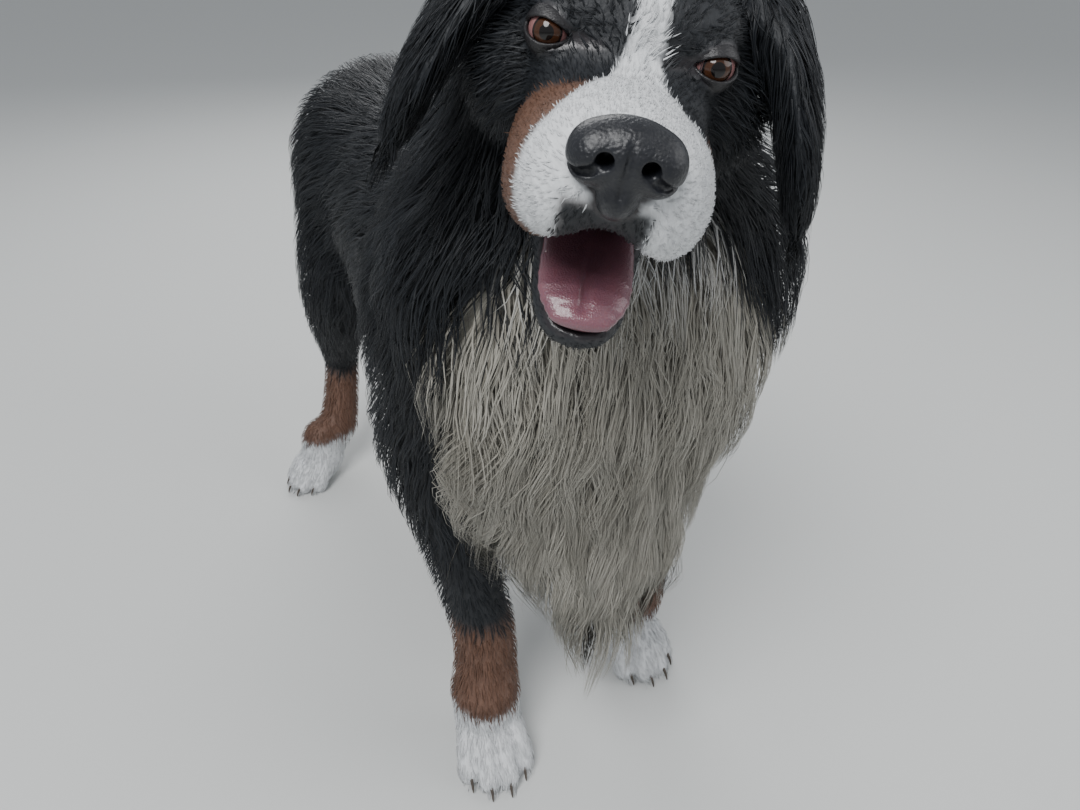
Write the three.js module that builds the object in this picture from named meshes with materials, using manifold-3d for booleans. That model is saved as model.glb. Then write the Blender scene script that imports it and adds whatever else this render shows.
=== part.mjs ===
// A Bernese mountain dog, a grown male in full coat, standing at life size with its head turned to its right
// and its mouth a little open. Millimetres, +Z up. The dog faces -Y, its left side is +X, the floor is z = 0.
// The solids give the outline out to the tips of the coat. Flesh is a smooth union of tapered lengths, each
// given by its two ends, turned into a closed surface and parted into named pieces by thin cuts.
import * as THREE from "three";
import Module from "manifold-3d";
import { mergeVertices } from "three/addons/utils/BufferGeometryUtils.js";

const wasm = await Module();
wasm.setup();

// Driving dimensions
const WITHERS = 705; // height of the coat over the shoulders
const CROUP_ASIDE = -34; // how far the croup is swung to the dog's right
const HEAD_AT = [-42, -152, 801]; // the point midway between the eyes
const HEAD_TURN = -23; // degrees to the dog's left, so this is to its right
const HEAD_LIFT = 1; // degrees, nose up
const HEAD_TILT = 11; // degrees, left eye down
const EYE_RADIUS = 12;
const EYE_AT = [46, 12, -1]; // in the head's frame, as the next places are
const LIDS_AT = [47, -3, -1]; // the hollow that bares the eye
const EAR_SPREAD = 76; // half the distance between the ears where they are set on
const JAW_HINGE = [0, 76, -62];
const JAW_OPEN = 19; // degrees
const TOE_SPREAD = [-31, -11, 11, 31];
const OUTER_TOE_BACK = 16; // how far the outer toes stand behind the middle ones
const CLAW_RADIUS = 4.2;
const CLAW_TAPER = 0.8; // the share of its radius that a claw loses towards its tip
const CLAW_WIDTH = 0.75; // against its depth
const PAW_TOP = 74; // where the paws are parted from the legs
const GAP = 0.3; // between touching pieces
const CUT_GROWTH = GAP * 1.5; // along the corners' normals, so that flat faces move by the gap at least
const BIB_TOP = 636; // where the white hair of the chest starts under the throat
const REGION_MARGIN = 18; // how far the cut round the chest hair or the tail stands off it

// Fillets where lengths of flesh and hair run into each other
const FILLET = { body: 46, throat: 30, hair: 24, leg: 22, head: 20, muzzle: 12, paw: 7, nose: 6, limb: 2 };

// Cells of the surfaces, along X, Y and Z: smaller where the shape is finer
const CELL = {
  trunk: [56, 90, 50],
  neck: [50, 48, 48],
  head: [18, 18, 17],
  ear: [21, 21, 24],
  jaw: [18, 26, 17],
  leg: [31, 34, 60],
  paw: [17, 18, 16],
  tail: [35, 35, 60],
  bib: [41, 35, 58],
  tongue: [13, 17, 10],
  nose: [10, 9, 10],
  region: [52, 46, 76],
};

const LEFT = [1, 0, 0];
const radians = THREE.MathUtils.degToRad;

// Fields. A field gives the distance from a point to a surface, less than nought inside it, and its box.

// One tapered length between two stations [x, y, z, half width along side, half depth across it].
function taper(from, to, side) {
  const [ax, ay, az, aw, ad] = from;
  const [bx, by, bz, bw, bd] = to;
  const [vx, vy, vz] = [bx - ax, by - ay, bz - az];
  const long2 = vx * vx + vy * vy + vz * vz || 1;
  const reach = Math.max(aw, ad, bw, bd);
  const box = new THREE.Box3().setFromPoints([new THREE.Vector3(ax, ay, az), new THREE.Vector3(bx, by, bz)]);
  const at = (x, y, z) => {
    const along = ((x - ax) * vx + (y - ay) * vy + (z - az) * vz) / long2;
    const t = Math.min(1, Math.max(0, along));
    const [qx, qy, qz] = [x - ax - t * vx, y - ay - t * vy, z - az - t * vz];
    const wide = aw + t * (bw - aw);
    const deep = ad + t * (bd - ad);
    const aside = qx * side[0] + qy * side[1] + qz * side[2];
    const across2 = Math.max(0, qx * qx + qy * qy + qz * qz - aside * aside);
    return (Math.sqrt((aside / wide) ** 2 + across2 / deep ** 2) - 1) * Math.min(wide, deep);
  };
  return { at, box: box.expandByScalar(reach) };
}

// Fields joined, with hollows of about the given size filled between them. Far ones are passed over.
function blend(fillet, ...fields) {
  const box = fields.reduce((all, field) => all.union(field.box), new THREE.Box3());
  const at = (x, y, z) => {
    let nearest = 1e6;
    for (const field of fields) {
      const { min, max } = field.box;
      const aside = Math.max(min.x - x, x - max.x, min.y - y, y - max.y, min.z - z, z - max.z);
      if (aside * 0.4 > Math.abs(nearest) + fillet) continue;
      const other = field.at(x, y, z);
      const share = Math.max(fillet - Math.abs(nearest - other), 0) / fillet;
      nearest = Math.min(nearest, other) - (share * share * fillet) / 4;
    }
    return nearest;
  };
  return { at, box };
}

// Stations with two more put between each pair, on a smooth curve through them all.
function smoothed(stations) {
  const at = (i) => stations[THREE.MathUtils.clamp(i, 0, stations.length - 1)];
  const spans = stations.slice(1).map((_, i) =>
    [1 / 3, 2 / 3, 1].map((t) =>
      at(i).map((value, n) => {
        const [before, next, after] = [at(i - 1)[n], at(i + 1)[n], at(i + 2)[n]];
        const ahead = (next - before) / 2;
        const last = (after - value) / 2;
        const rise = next - value;
        const bend = 3 * rise - 2 * ahead - last;
        const twist = ahead + last - 2 * rise;
        return value + ahead * t + bend * t ** 2 + twist * t ** 3;
      }),
    ),
  );
  return [stations[0], ...spans.flat()];
}

// A limb through its stations.
function chain(stations, side = LEFT) {
  const unit = new THREE.Vector3(...side).normalize().toArray();
  const fine = smoothed(stations);
  return blend(FILLET.limb, ...fine.slice(1).map((to, i) => taper(fine[i], to, unit)));
}

// A round mass: one station with its own depth along the body.
function mass([x, y, z], [wide, long, high]) {
  const reach = new THREE.Vector3(wide, long, high);
  const middle = new THREE.Vector3(x, y, z);
  const box = new THREE.Box3(middle.clone().sub(reach), middle.clone().add(reach));
  const at = (px, py, pz) => {
    const share = [(px - x) / wide, (py - y) / long, (pz - z) / high];
    const near = Math.hypot(...share);
    const slope = Math.hypot(share[0] / wide, share[1] / long, share[2] / high) || 1e-6;
    return (near * (near - 1)) / slope;
  };
  return { at, box };
}

// A field moved from its own frame by a matrix that turns and shifts it.
function placed(field, matrix) {
  const back = matrix.clone().invert().elements;
  const at = (x, y, z) =>
    field.at(
      back[0] * x + back[4] * y + back[8] * z + back[12],
      back[1] * x + back[5] * y + back[9] * z + back[13],
      back[2] * x + back[6] * y + back[10] * z + back[14],
    );
  return { at, box: field.box.clone().applyMatrix4(matrix) };
}

// The same stations or centre on the other side of the middle plane.
const mirrored = (station) => [-station[0], ...station.slice(1)];
const sided = (side, station) => (side === "left" ? station : mirrored(station));

// Surfaces

// A solid from a closed mesh, and one from a geometry.
function solidFrom(vertProperties, triVerts) {
  return new wasm.Manifold(new wasm.Mesh({ numProp: 3, vertProperties, triVerts }));
}

function solidOf(geometry, matrix = new THREE.Matrix4()) {
  const bare = new THREE.BufferGeometry().setAttribute("position", geometry.getAttribute("position").clone());
  bare.setIndex(geometry.index ? geometry.index.clone() : null);
  const merged = mergeVertices(bare.applyMatrix4(matrix), 1e-3);
  return solidFrom(new Float32Array(merged.attributes.position.array), new Uint32Array(merged.index.array));
}

// The closed surface of a field within a box, one point to a cell, each drawn on to the surface.
function netOf(field, box, cell, growth) {
  const steps = new THREE.Vector3(...cell);
  const low = box.min.clone().sub(steps.clone().multiplyScalar(1.5));
  const high = box.max.clone().add(steps.clone().multiplyScalar(1.5));
  const counts = high.sub(low).divide(steps).ceil().addScalar(1).toArray();
  const [nx, ny, nz] = counts;
  const index = (i, j, k) => i + nx * (j + ny * k);
  const place = (i, j, k) => [low.x + i * cell[0], low.y + j * cell[1], low.z + k * cell[2]];
  const values = new Float64Array(nx * ny * nz);
  const depth = (x, y, z) => field.at(x, y, z) - growth;
  for (let k = 0; k < nz; k++)
    for (let j = 0; j < ny; j++)
      for (let i = 0; i < nx; i++) {
        const rim = [i, j, k].some((at, axis) => at === 0 || at === counts[axis] - 1);
        values[index(i, j, k)] = rim ? cell[0] : depth(...place(i, j, k));
      }
  fillCheckers(values, counts);
  const corners = [0, 1, 2, 3, 4, 5, 6, 7].map((c) => [c & 1, (c >> 1) & 1, (c >> 2) & 1]);
  const edgesFrom = (c) => [1, 2, 4].filter((step) => !(c & step)).map((step) => [c, c + step]);
  const edges = corners.flatMap((_, c) => edgesFrom(c));
  const vertices = [];
  const vertexOf = new Int32Array(values.length).fill(-1);
  for (let k = 0; k < nz - 1; k++)
    for (let j = 0; j < ny - 1; j++)
      for (let i = 0; i < nx - 1; i++) {
        const held = corners.map(([a, b, c]) => values[index(i + a, j + b, k + c)]);
        const crossings = edges.filter(([a, b]) => held[a] < 0 !== held[b] < 0);
        if (!crossings.length) continue;
        const point = [0, 0, 0];
        for (const [a, b] of crossings) {
          const t = held[a] / (held[a] - held[b]);
          for (let axis = 0; axis < 3; axis++)
            point[axis] += (corners[a][axis] + t * (corners[b][axis] - corners[a][axis])) / crossings.length;
        }
        vertexOf[index(i, j, k)] = vertices.length / 3;
        vertices.push(...drawnOn(depth, place(i + point[0], j + point[1], k + point[2]), Math.min(...cell)));
      }
  const triangles = [];
  const corner = (v) => vertices.slice(3 * v, 3 * v + 3);
  const span = (a, b) => Math.hypot(...corner(a).map((value, axis) => value - corner(b)[axis]));
  const quad = (cells, outwards) => {
    const [a, b, c, d] = outwards ? cells : [...cells].reverse();
    triangles.push(...(span(a, c) < span(b, d) ? [a, b, c, a, c, d] : [a, b, d, b, c, d]));
  };
  for (let k = 0; k < nz - 1; k++)
    for (let j = 0; j < ny - 1; j++)
      for (let i = 0; i < nx - 1; i++) {
        const here = values[index(i, j, k)] < 0;
        const crosses = (a, b, c) => here !== values[index(i + a, j + b, k + c)] < 0;
        const v = (a, b, c) => vertexOf[index(i - a, j - b, k - c)];
        if (crosses(1, 0, 0)) quad([v(0, 1, 1), v(0, 0, 1), v(0, 0, 0), v(0, 1, 0)], here);
        if (crosses(0, 1, 0)) quad([v(1, 0, 1), v(1, 0, 0), v(0, 0, 0), v(0, 0, 1)], here);
        if (crosses(0, 0, 1)) quad([v(1, 1, 0), v(0, 1, 0), v(0, 0, 0), v(1, 0, 0)], here);
      }
  return { vertices: new Float32Array(vertices), triangles: new Uint32Array(triangles) };
}

// Grid faces whose corners are inside and outside like a checkerboard would make the surface touch itself, so
// one of the outside corners is filled, again and again until there are none.
function fillCheckers(values, [nx, ny, nz]) {
  const strides = [1, nx, nx * ny];
  for (let found = true; found; ) {
    found = false;
    for (let c = 0; c < values.length - strides[2] - nx - 1; c++)
      for (const [p, q] of [[0, 1], [0, 2], [1, 2]]) {
        const face = [c, c + strides[p], c + strides[q], c + strides[p] + strides[q]];
        const [a, b, d, e] = face.map((at) => values[at] < 0);
        if (a !== e || b !== d || a === b) continue;
        const outside = face.filter((at) => values[at] >= 0);
        const filled = values[outside[0]] < values[outside[1]] ? outside[0] : outside[1];
        values[filled] = -1e-3;
        found = true;
      }
  }
}

// A point moved down the field's slope towards its surface, by no more than a share of the cell.
function drawnOn(depth, point, cell) {
  const step = cell * 0.05;
  let [x, y, z] = point;
  for (let turn = 0; turn < 3; turn++) {
    const here = depth(x, y, z);
    const slope = [
      (depth(x + step, y, z) - here) / step,
      (depth(x, y + step, z) - here) / step,
      (depth(x, y, z + step) - here) / step,
    ];
    const steep = slope[0] ** 2 + slope[1] ** 2 + slope[2] ** 2;
    if (steep < 0.01) break;
    const move = THREE.MathUtils.clamp(here / Math.sqrt(steep), -cell * 0.25, cell * 0.25) / Math.sqrt(steep);
    x -= slope[0] * move;
    y -= slope[1] * move;
    z -= slope[2] * move;
  }
  return [x, y, z];
}

// A field's solid, the same solid grown by the gap, which cuts its neighbours, and one shrunk by it.
function surfaceOf(field, cell, within = field.box, growth = 0) {
  const { vertices, triangles } = netOf(field, field.box.clone().intersect(within), cell, growth);
  const geometry = new THREE.BufferGeometry();
  geometry.setAttribute("position", new THREE.BufferAttribute(vertices, 3));
  geometry.setIndex(new THREE.BufferAttribute(triangles, 1));
  geometry.computeVertexNormals();
  const normals = geometry.attributes.normal.array;
  const moved = (distance) => solidFrom(vertices.map((value, i) => value + normals[i] * distance), triangles);
  return { solid: moved(0), grown: moved(CUT_GROWTH), shrunk: moved(-CUT_GROWTH) };
}

// The one body of a cut solid that holds the most.
function largest(solid) {
  return solid.decompose().sort((a, b) => b.volume() - a.volume())[0];
}

const boxBetween = (low, high) => new THREE.Box3(new THREE.Vector3(...low), new THREE.Vector3(...high));

// Cutting shapes. Each is given with a growth, so that the piece beside it can be cut with the gap between.
function boxCutter(box, growth, matrix = new THREE.Matrix4()) {
  const grown = box.clone().expandByScalar(growth);
  const size = grown.getSize(new THREE.Vector3());
  const geometry = new THREE.BoxGeometry(size.x, size.y, size.z);
  const middle = grown.getCenter(new THREE.Vector3());
  return solidOf(geometry.translate(middle.x, middle.y, middle.z), matrix);
}

function ballCutter(centre, radius, growth, matrix) {
  const geometry = new THREE.SphereGeometry(radius + growth, 10, 7);
  return solidOf(geometry.translate(...centre), matrix);
}

// A disc lying along X, with its own radii along Y and Z.
function discCutter(centre, [deep, long, high], growth) {
  const geometry = new THREE.CylinderGeometry(1, 1, 2, 14).rotateZ(Math.PI / 2);
  return solidOf(geometry.scale(deep + growth, long + growth, high + growth).translate(...centre));
}

// Trunk, withers, neck and the ruff round it
const trunkField = chain([
  [20, 70, 505, 150, 148],
  [18, 190, 500, 180, 190],
  [8, 380, 513, 172, 172],
  [-12, 545, 528, 150, 150],
  [CROUP_ASIDE, 660, 545, 136, 142],
]);
const withersField = mass([16, 170, WITHERS - 105], [118, 150, 105]);
const neckField = chain([
  [-6, 0, 758, 112, 94],
  [10, 48, 680, 146, 120],
  [20, 115, 565, 184, 155],
]);
const ruffField = mass([22, 12, 602], [200, 108, 148]);

// Tail: hanging, bushy, its tip at the hocks
const TAIL_TOP = 770;
const tailField = chain([
  [CROUP_ASIDE - 2, TAIL_TOP, 600, 38, 38],
  [CROUP_ASIDE - 8, 822, 556, 46, 46],
  [CROUP_ASIDE - 12, 850, 460, 58, 56],
  [CROUP_ASIDE - 16, 854, 350, 60, 58],
  [CROUP_ASIDE - 18, 836, 255, 38, 36],
  [CROUP_ASIDE - 18, 822, 210, 16, 16],
]);

// Legs. Each is given down the limb, with its toes' tips on the floor and the foot's heading in degrees
// outwards.
const LEGS = {
  fore_leg_right: {
    stations: [
      [-104, 105, 500, 70, 95],
      [-120, 122, 385, 60, 80],
      [-110, 106, 318, 48, 62],
      [-87, 66, 170, 39, 43],
      [-93, 42, 92, 38, 40],
    ],
    toes: [-103, -47],
    heading: 6,
    size: 1,
  },
  fore_leg_left: {
    stations: [
      [140, 110, 500, 70, 95],
      [158, 142, 385, 60, 80],
      [152, 136, 318, 48, 62],
      [141, 124, 170, 38, 43],
      [138, 118, 92, 38, 40],
    ],
    toes: [137, 36],
    heading: 12,
    size: 1,
  },
  hind_leg_right: {
    stations: [
      [-116, 645, 510, 68, 124],
      [-142, 604, 412, 64, 108],
      [-154, 636, 325, 50, 80],
      [-150, 704, 212, 33, 46],
      [-154, 696, 165, 30, 40],
      [-172, 672, 86, 33, 38],
    ],
    toes: [-268, 603],
    heading: 52,
    size: 0.93,
  },
  hind_leg_left: {
    stations: [
      [48, 645, 510, 68, 124],
      [62, 624, 412, 64, 108],
      [62, 664, 325, 50, 80],
      [58, 752, 208, 33, 46],
      [57, 764, 165, 30, 40],
      [56, 750, 86, 32, 38],
    ],
    toes: [54, 668],
    heading: 4,
    size: 0.93,
  },
};

const toeBack = (across) => (Math.abs(across) === TOE_SPREAD[3] ? OUTER_TOE_BACK : 0);

// A paw in its own frame: toes to -Y, the middle toes' tips at the origin. The soles are cut off flat at the
// floor.
function pawField() {
  const toes = TOE_SPREAD.map((across) => {
    const back = toeBack(across);
    return chain([
      [across * 0.5, 78, 44, 20, 20],
      [across * 0.85, 44 + back * 0.5, 34, 17, 19],
      [across, 17 + back, 13, 15, 17],
    ]);
  });
  const heel = chain([
    [0, 84, 78, 37, 40],
    [0, 80, 46, 40, 40],
    [0, 66, 26, 38, 30],
  ]);
  return blend(FILLET.paw, heel, ...toes);
}

// The matrix of a leg's paw: its frame turned outwards and set down at the toes.
function pawMatrix(name) {
  const { toes, heading, size } = LEGS[name];
  const outwards = name.endsWith("left") ? heading : -heading;
  return new THREE.Matrix4()
    .makeTranslation(toes[0], toes[1], 0)
    .multiply(new THREE.Matrix4().makeRotationZ(radians(outwards)))
    .multiply(new THREE.Matrix4().makeScale(size, size, size));
}

const legFields = Object.entries(LEGS).map(([name, leg]) =>
  blend(FILLET.leg, chain(leg.stations), placed(pawField(), pawMatrix(name))),
);
const breeches = [-124, 46].map((x) =>
  chain([
    [x, 740, 490, 58, 62],
    [x, 762, 390, 46, 48],
    [x * 0.98, 768, 310, 28, 30],
  ]),
);
const bodyField = blend(
  FILLET.body,
  trunkField,
  withersField,
  neckField,
  ruffField,
  ...legFields,
  ...breeches,
);

// Head, in its own frame: the origin midway between the eyes, the muzzle to -Y
const headAngles = [-HEAD_LIFT, HEAD_TILT, HEAD_TURN].map(radians);
const headMatrix = new THREE.Matrix4()
  .makeRotationFromEuler(new THREE.Euler(...headAngles, "ZXY"))
  .setPosition(...HEAD_AT);

const eachSide = (make) => ["left", "right"].map((side) => make((station) => sided(side, station), side));
const skullField = blend(
  FILLET.head,
  mass([0, 78, 4], [78, 86, 55]),
  mass([0, 34, 2], [46, 34, 36]),
  ...eachSide((at) => mass(at([34, 27, 15]), [26, 22, 16])),
  ...eachSide((at) => mass(at([60, 66, -30]), [37, 54, 47])),
);
const FLEW = [
  [32, -2, -58, 27, 32],
  [33, -52, -63, 24, 30],
  [25, -82, -59, 20, 24],
];
const muzzleField = blend(
  FILLET.muzzle,
  chain([
    [0, 14, -42, 50, 36],
    [0, -50, -44, 46, 33],
    [0, -84, -43, 41, 30],
  ]),
  ...eachSide((at) => chain(FLEW.map(at))),
  ...eachSide((at) => mass(at([30, 8, -26]), [20, 28, 15])),
);
const cranialField = placed(blend(FILLET.head, skullField, muzzleField), headMatrix);
const noseField = blend(FILLET.nose, mass([0, -108, -31], [27, 17, 18]), mass([0, -106, -46], [16, 15, 15]));

// Lower jaw and tongue, swung open about the hinge from where they lie with the mouth shut
const jawMatrix = new THREE.Matrix4()
  .makeTranslation(...JAW_HINGE)
  .multiply(new THREE.Matrix4().makeRotationX(radians(JAW_OPEN)))
  .multiply(new THREE.Matrix4().makeTranslation(...JAW_HINGE.map((value) => -value)));
const jawField = placed(
  chain([
    [0, 58, -74, 50, 26],
    [0, -10, -88, 36, 22],
    [0, -62, -90, 29, 18],
    [0, -78, -89, 22, 15],
  ]),
  jawMatrix,
);
const tongueField = placed(
  chain([
    [0, 30, -72, 24, 9],
    [0, -30, -73, 27, 9],
    [0, -70, -73, 26, 8],
    [0, -86, -77, 18, 6],
  ]),
  jawMatrix,
);

// Ears: flat, hanging, with rounded tips. Their faces look out, a little forwards and up.
const EAR = [
  [EAR_SPREAD - 4, 66, 26, 17, 28],
  [EAR_SPREAD + 20, 60, 6, 17, 44],
  [EAR_SPREAD + 42, 50, -38, 16, 44],
  [EAR_SPREAD + 52, 44, -72, 12, 22],
];
const EAR_FACES = [0.93, -0.18, 0.3];
const earField = (side) => chain(EAR.map((station) => sided(side, station)), sided(side, EAR_FACES));

// Long white hair of the chest
const bibField = chain([
  [6, -46, 640, 104, 44],
  [12, -38, 545, 150, 62],
  [8, -30, 475, 150, 64],
  [3, -22, 408, 122, 58],
  [8, -35, 358, 90, 48],
  [5, -50, 319, 62, 36],
  [3, -58, 286, 36, 22],
]);

// Materials
const finish = (color, roughness) => new THREE.MeshStandardMaterial({ color, roughness, metalness: 0 });
const FINISH = {
  black: finish(0x14130f, 0.75),
  white: finish(0xcfcabf, 0.8),
  rust: finish(0x6b3a20, 0.8),
  nose: finish(0x0d0d0f, 0.4),
  tongue: finish(0xa85a62, 0.4),
  eye: finish(0x2a160c, 0.1),
  claw: finish(0x3a332c, 0.45),
};

// Assembly
const dog = new THREE.Group();

function add(name, solid, material) {
  const { vertProperties, triVerts, numProp } = largest(solid).getMesh();
  const geometry = new THREE.BufferGeometry();
  const places = new Float32Array((vertProperties.length / numProp) * 3);
  for (let i = 0; i < places.length / 3; i++)
    places.set(vertProperties.subarray(i * numProp, i * numProp + 3), i * 3);
  geometry.setAttribute("position", new THREE.BufferAttribute(places, 3));
  geometry.setIndex(new THREE.BufferAttribute(triVerts, 1));
  const mesh = new THREE.Mesh(geometry, material);
  mesh.name = name;
  dog.add(mesh);
}

const FAR = 3000; // past every end of the dog
const headAndBody = blend(FILLET.throat, bodyField, cranialField);
const fleshField = blend(FILLET.hair, headAndBody, bibField, tailField);
const upwards = boxBetween([-FAR, -FAR, 0], [FAR, FAR, FAR]);
const aboveFloor = boxCutter(upwards, 0);

// The head's cut runs from the nape to the throat behind the jaw. The neck's lower one leans with the
// shoulders.
const headSlant = new THREE.Matrix4().makeRotationX(radians(56)).setPosition(0, 138, 20);
headSlant.premultiply(headMatrix);
const headCut = (growth) => boxCutter(upwards, growth, headSlant);
const neckSlant = new THREE.Matrix4().makeRotationX(radians(44)).setPosition(0, 60, 600);
const neckCut = (growth) => boxCutter(upwards, growth, neckSlant);

// Legs part from the trunk along a disc over the thigh or upper arm with a box under it, and paws along a
// level cut.
const LEG_CUTS = {
  fore_leg_right: {
    centre: [-190, 112, 395],
    radii: [102, 98, 130],
    box: boxBetween([-320, -90, -10], [-44, 260, 322]),
  },
  fore_leg_left: {
    centre: [226, 124, 395],
    radii: [102, 98, 130],
    box: boxBetween([84, -90, -10], [340, 290, 322]),
  },
  hind_leg_right: {
    centre: [-220, 650, 430],
    radii: [106, 140, 150],
    box: boxBetween([-360, 440, -10], [-36, 960, 350]),
  },
  hind_leg_left: {
    centre: [152, 658, 430],
    radii: [106, 140, 150],
    box: boxBetween([-35, 440, -10], [280, 960, 350]),
  },
};

const legCut = (name, growth) => {
  const { centre, radii, box } = LEG_CUTS[name];
  return discCutter(centre, radii, growth).add(boxCutter(box, growth));
};
const legNames = Object.keys(LEGS);
const ankle = (growth) => boxCutter(boxBetween([-FAR, -FAR, -FAR], [FAR, FAR, PAW_TOP]), growth);

// The flesh is drawn again for each piece, as finely as that piece needs, a little past where it is cut.
const SPARE = 60;
const head = surfaceOf(fleshField, CELL.head, boxBetween([-240, -330, 640], [180, 130, 960]));
const neck = surfaceOf(fleshField, CELL.neck, boxBetween([-330, -260, 420], [330, 330, 960]));
const trunk = surfaceOf(fleshField, CELL.trunk, boxBetween([-330, -260, 180], [330, 960, 900]));
const bib = surfaceOf(fleshField, CELL.bib, bibField.box.clone().expandByScalar(REGION_MARGIN));
const tail = surfaceOf(fleshField, CELL.tail, tailField.box.clone().expandByScalar(REGION_MARGIN));

// The chest hair and the tail are cut out by their own shapes, made a little larger.
const bibRegion = surfaceOf(bibField, CELL.region, bibField.box, REGION_MARGIN);
const underThroat = (growth) => boxCutter(boxBetween([-FAR, -FAR, -FAR], [FAR, FAR, BIB_TOP]), growth);
const behindCroup = boxBetween([-FAR, TAIL_TOP + 10, 0], [FAR, FAR, FAR]);
const tailRegion = surfaceOf(tailField, CELL.region, behindCroup, REGION_MARGIN);
const besideBib = (solid) => solid.subtract(bibRegion.grown.intersect(underThroat(GAP)));
const besideTail = (solid) => solid.subtract(tailRegion.grown);

const nose = surfaceOf(placed(noseField, headMatrix), CELL.nose);
const eyes = eachSide((at, side) => ({
  side,
  cut: (growth) => ballCutter(at(EYE_AT), EYE_RADIUS, growth, headMatrix),
}));
const lids = eachSide((at) => surfaceOf(placed(mass(at(LIDS_AT), [16, 11, 9]), headMatrix), CELL.nose));
const palateField = placed(mass([0, -46, -94], [30, 66, 24]), headMatrix);
const palate = surfaceOf(palateField, CELL.jaw);
const tongue = surfaceOf(placed(tongueField, headMatrix), CELL.tongue);
const jaw = surfaceOf(placed(jawField, headMatrix), CELL.jaw);
const ears = eachSide((at, side) => ({ side, ...surfaceOf(placed(earField(side), headMatrix), CELL.ear) }));

const headPiece = largest(
  head.solid
    .intersect(headCut(0))
    .subtract(nose.grown)
    .subtract(palate.solid)
    .subtract(lids[0].solid.add(eyes[0].cut(GAP)))
    .subtract(lids[1].solid.add(eyes[1].cut(GAP)))
    .subtract(tongue.grown),
);
add("head", headPiece, FINISH.black);
const neckPiece = neck.solid.subtract(headCut(GAP)).intersect(neckCut(0)).subtract(tongue.grown);
add("neck", besideBib(neckPiece).subtract(jaw.grown), FINISH.black);

const bibPiece = bib.solid.intersect(bibRegion.solid).intersect(underThroat(0)).subtract(headCut(GAP));
add("chest_bib", bibPiece.subtract(jaw.grown), FINISH.white);

const trunkPiece = legNames.reduce(
  (solid, name) => solid.subtract(legCut(name, GAP)),
  besideTail(trunk.solid.subtract(neckCut(GAP)).subtract(headCut(GAP))),
);
add("trunk", besideBib(trunkPiece), FINISH.black);

const jawPiece = jaw.solid.subtract(head.grown.subtract(palate.shrunk)).subtract(tongue.grown);
add("lower_jaw", jawPiece, FINISH.black);
add("tongue", tongue.solid, FINISH.tongue);
add("nose", nose.solid, FINISH.nose);
for (const { side, cut } of eyes) add(`eye_${side}`, cut(0), FINISH.eye);
for (const { side, solid } of ears) {
  add(`ear_${side}`, solid.subtract(head.grown).subtract(neck.grown), FINISH.black);
}

add("tail", tail.solid.intersect(tailRegion.solid), FINISH.black);

for (const name of legNames) {
  const { centre, radii, box } = LEG_CUTS[name];
  const reach = box.clone().expandByScalar(SPARE);
  reach.max.z = centre[2] + radii[2] + SPARE;
  const leg = surfaceOf(fleshField, CELL.leg, reach);
  const shank = besideTail(leg.solid.intersect(legCut(name, 0)).subtract(ankle(GAP)));
  add(name, besideBib(shank), name.startsWith("fore") ? FINISH.black : FINISH.rust);

  const pawName = name.replace("leg", "paw");
  reach.max.z = PAW_TOP + SPARE;
  const foot = surfaceOf(fleshField, CELL.paw, reach);
  add(pawName, foot.solid.intersect(legCut(name, 0)).intersect(ankle(0)).intersect(aboveFloor), FINISH.white);
  for (const [i, claw] of clawsOf(name).entries())
    add(`claw_${pawName.replace("_paw", "")}_${i + 1}`, claw.subtract(foot.grown), FINISH.claw);
}

// A paw's four claws, each curving down from its toe.
function clawsOf(name) {
  return TOE_SPREAD.map((across) => {
    const back = toeBack(across);
    const curve = new THREE.QuadraticBezierCurve3(
      new THREE.Vector3(across, 14 + back, 16),
      new THREE.Vector3(across * 1.03, -1 + back, 16),
      new THREE.Vector3(across * 1.05, -9 + back, 3.5),
    );
    return clawAlong(curve, pawMatrix(name));
  });
}

// A tapered claw swept along a curve.
function clawAlong(curve, matrix) {
  const rings = 3;
  const sides = 4;
  const stations = Array.from({ length: rings }, (_, i) => {
    const t = i / (rings - 1);
    const radius = CLAW_RADIUS * (1 - CLAW_TAPER * t * t);
    return { centre: curve.getPoint(t), ahead: curve.getTangent(t), radius };
  });
  const places = [];
  for (const { centre, ahead, radius } of stations) {
    const up = new THREE.Vector3().crossVectors(new THREE.Vector3(1, 0, 0), ahead).normalize();
    for (let s = 0; s < sides; s++) {
      const angle = (s / sides) * Math.PI * 2;
      places.push(centre.x + Math.cos(angle) * radius * CLAW_WIDTH);
      places.push(centre.y + up.y * Math.sin(angle) * radius);
      places.push(centre.z + up.z * Math.sin(angle) * radius);
    }
  }
  const faces = [];
  for (let r = 0; r < rings - 1; r++)
    for (let s = 0; s < sides; s++) {
      const [a, b] = [r * sides + s, r * sides + ((s + 1) % sides)];
      faces.push(a, b, b + sides, a, b + sides, a + sides);
    }
  for (let s = 1; s < sides - 1; s++) {
    faces.push(0, s + 1, s);
    faces.push((rings - 1) * sides, (rings - 1) * sides + s, (rings - 1) * sides + s + 1);
  }
  const geometry = new THREE.BufferGeometry();
  geometry.setAttribute("position", new THREE.BufferAttribute(new Float32Array(places), 3));
  geometry.setIndex(faces);
  const solid = solidOf(geometry, matrix);
  return solid.volume() > 0 ? solid : solidOf(geometry.setIndex([...faces].reverse()), matrix);
}

// The part's origin is on the floor, under the middle of its box.
const middle = new THREE.Box3().setFromObject(dog).getCenter(new THREE.Vector3());
dog.position.set(-middle.x, -middle.y, 0);

export default dog;
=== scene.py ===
"""A Bernese mountain dog at life size: its skin, coat, eyes, nose, mouth and claws, on a plain stage."""

import logging
import math
from dataclasses import dataclass, field, fields
from enum import Enum
from typing import Callable, Sequence

import bpy
import numpy as np
from mathutils import Matrix, Vector, kdtree


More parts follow.
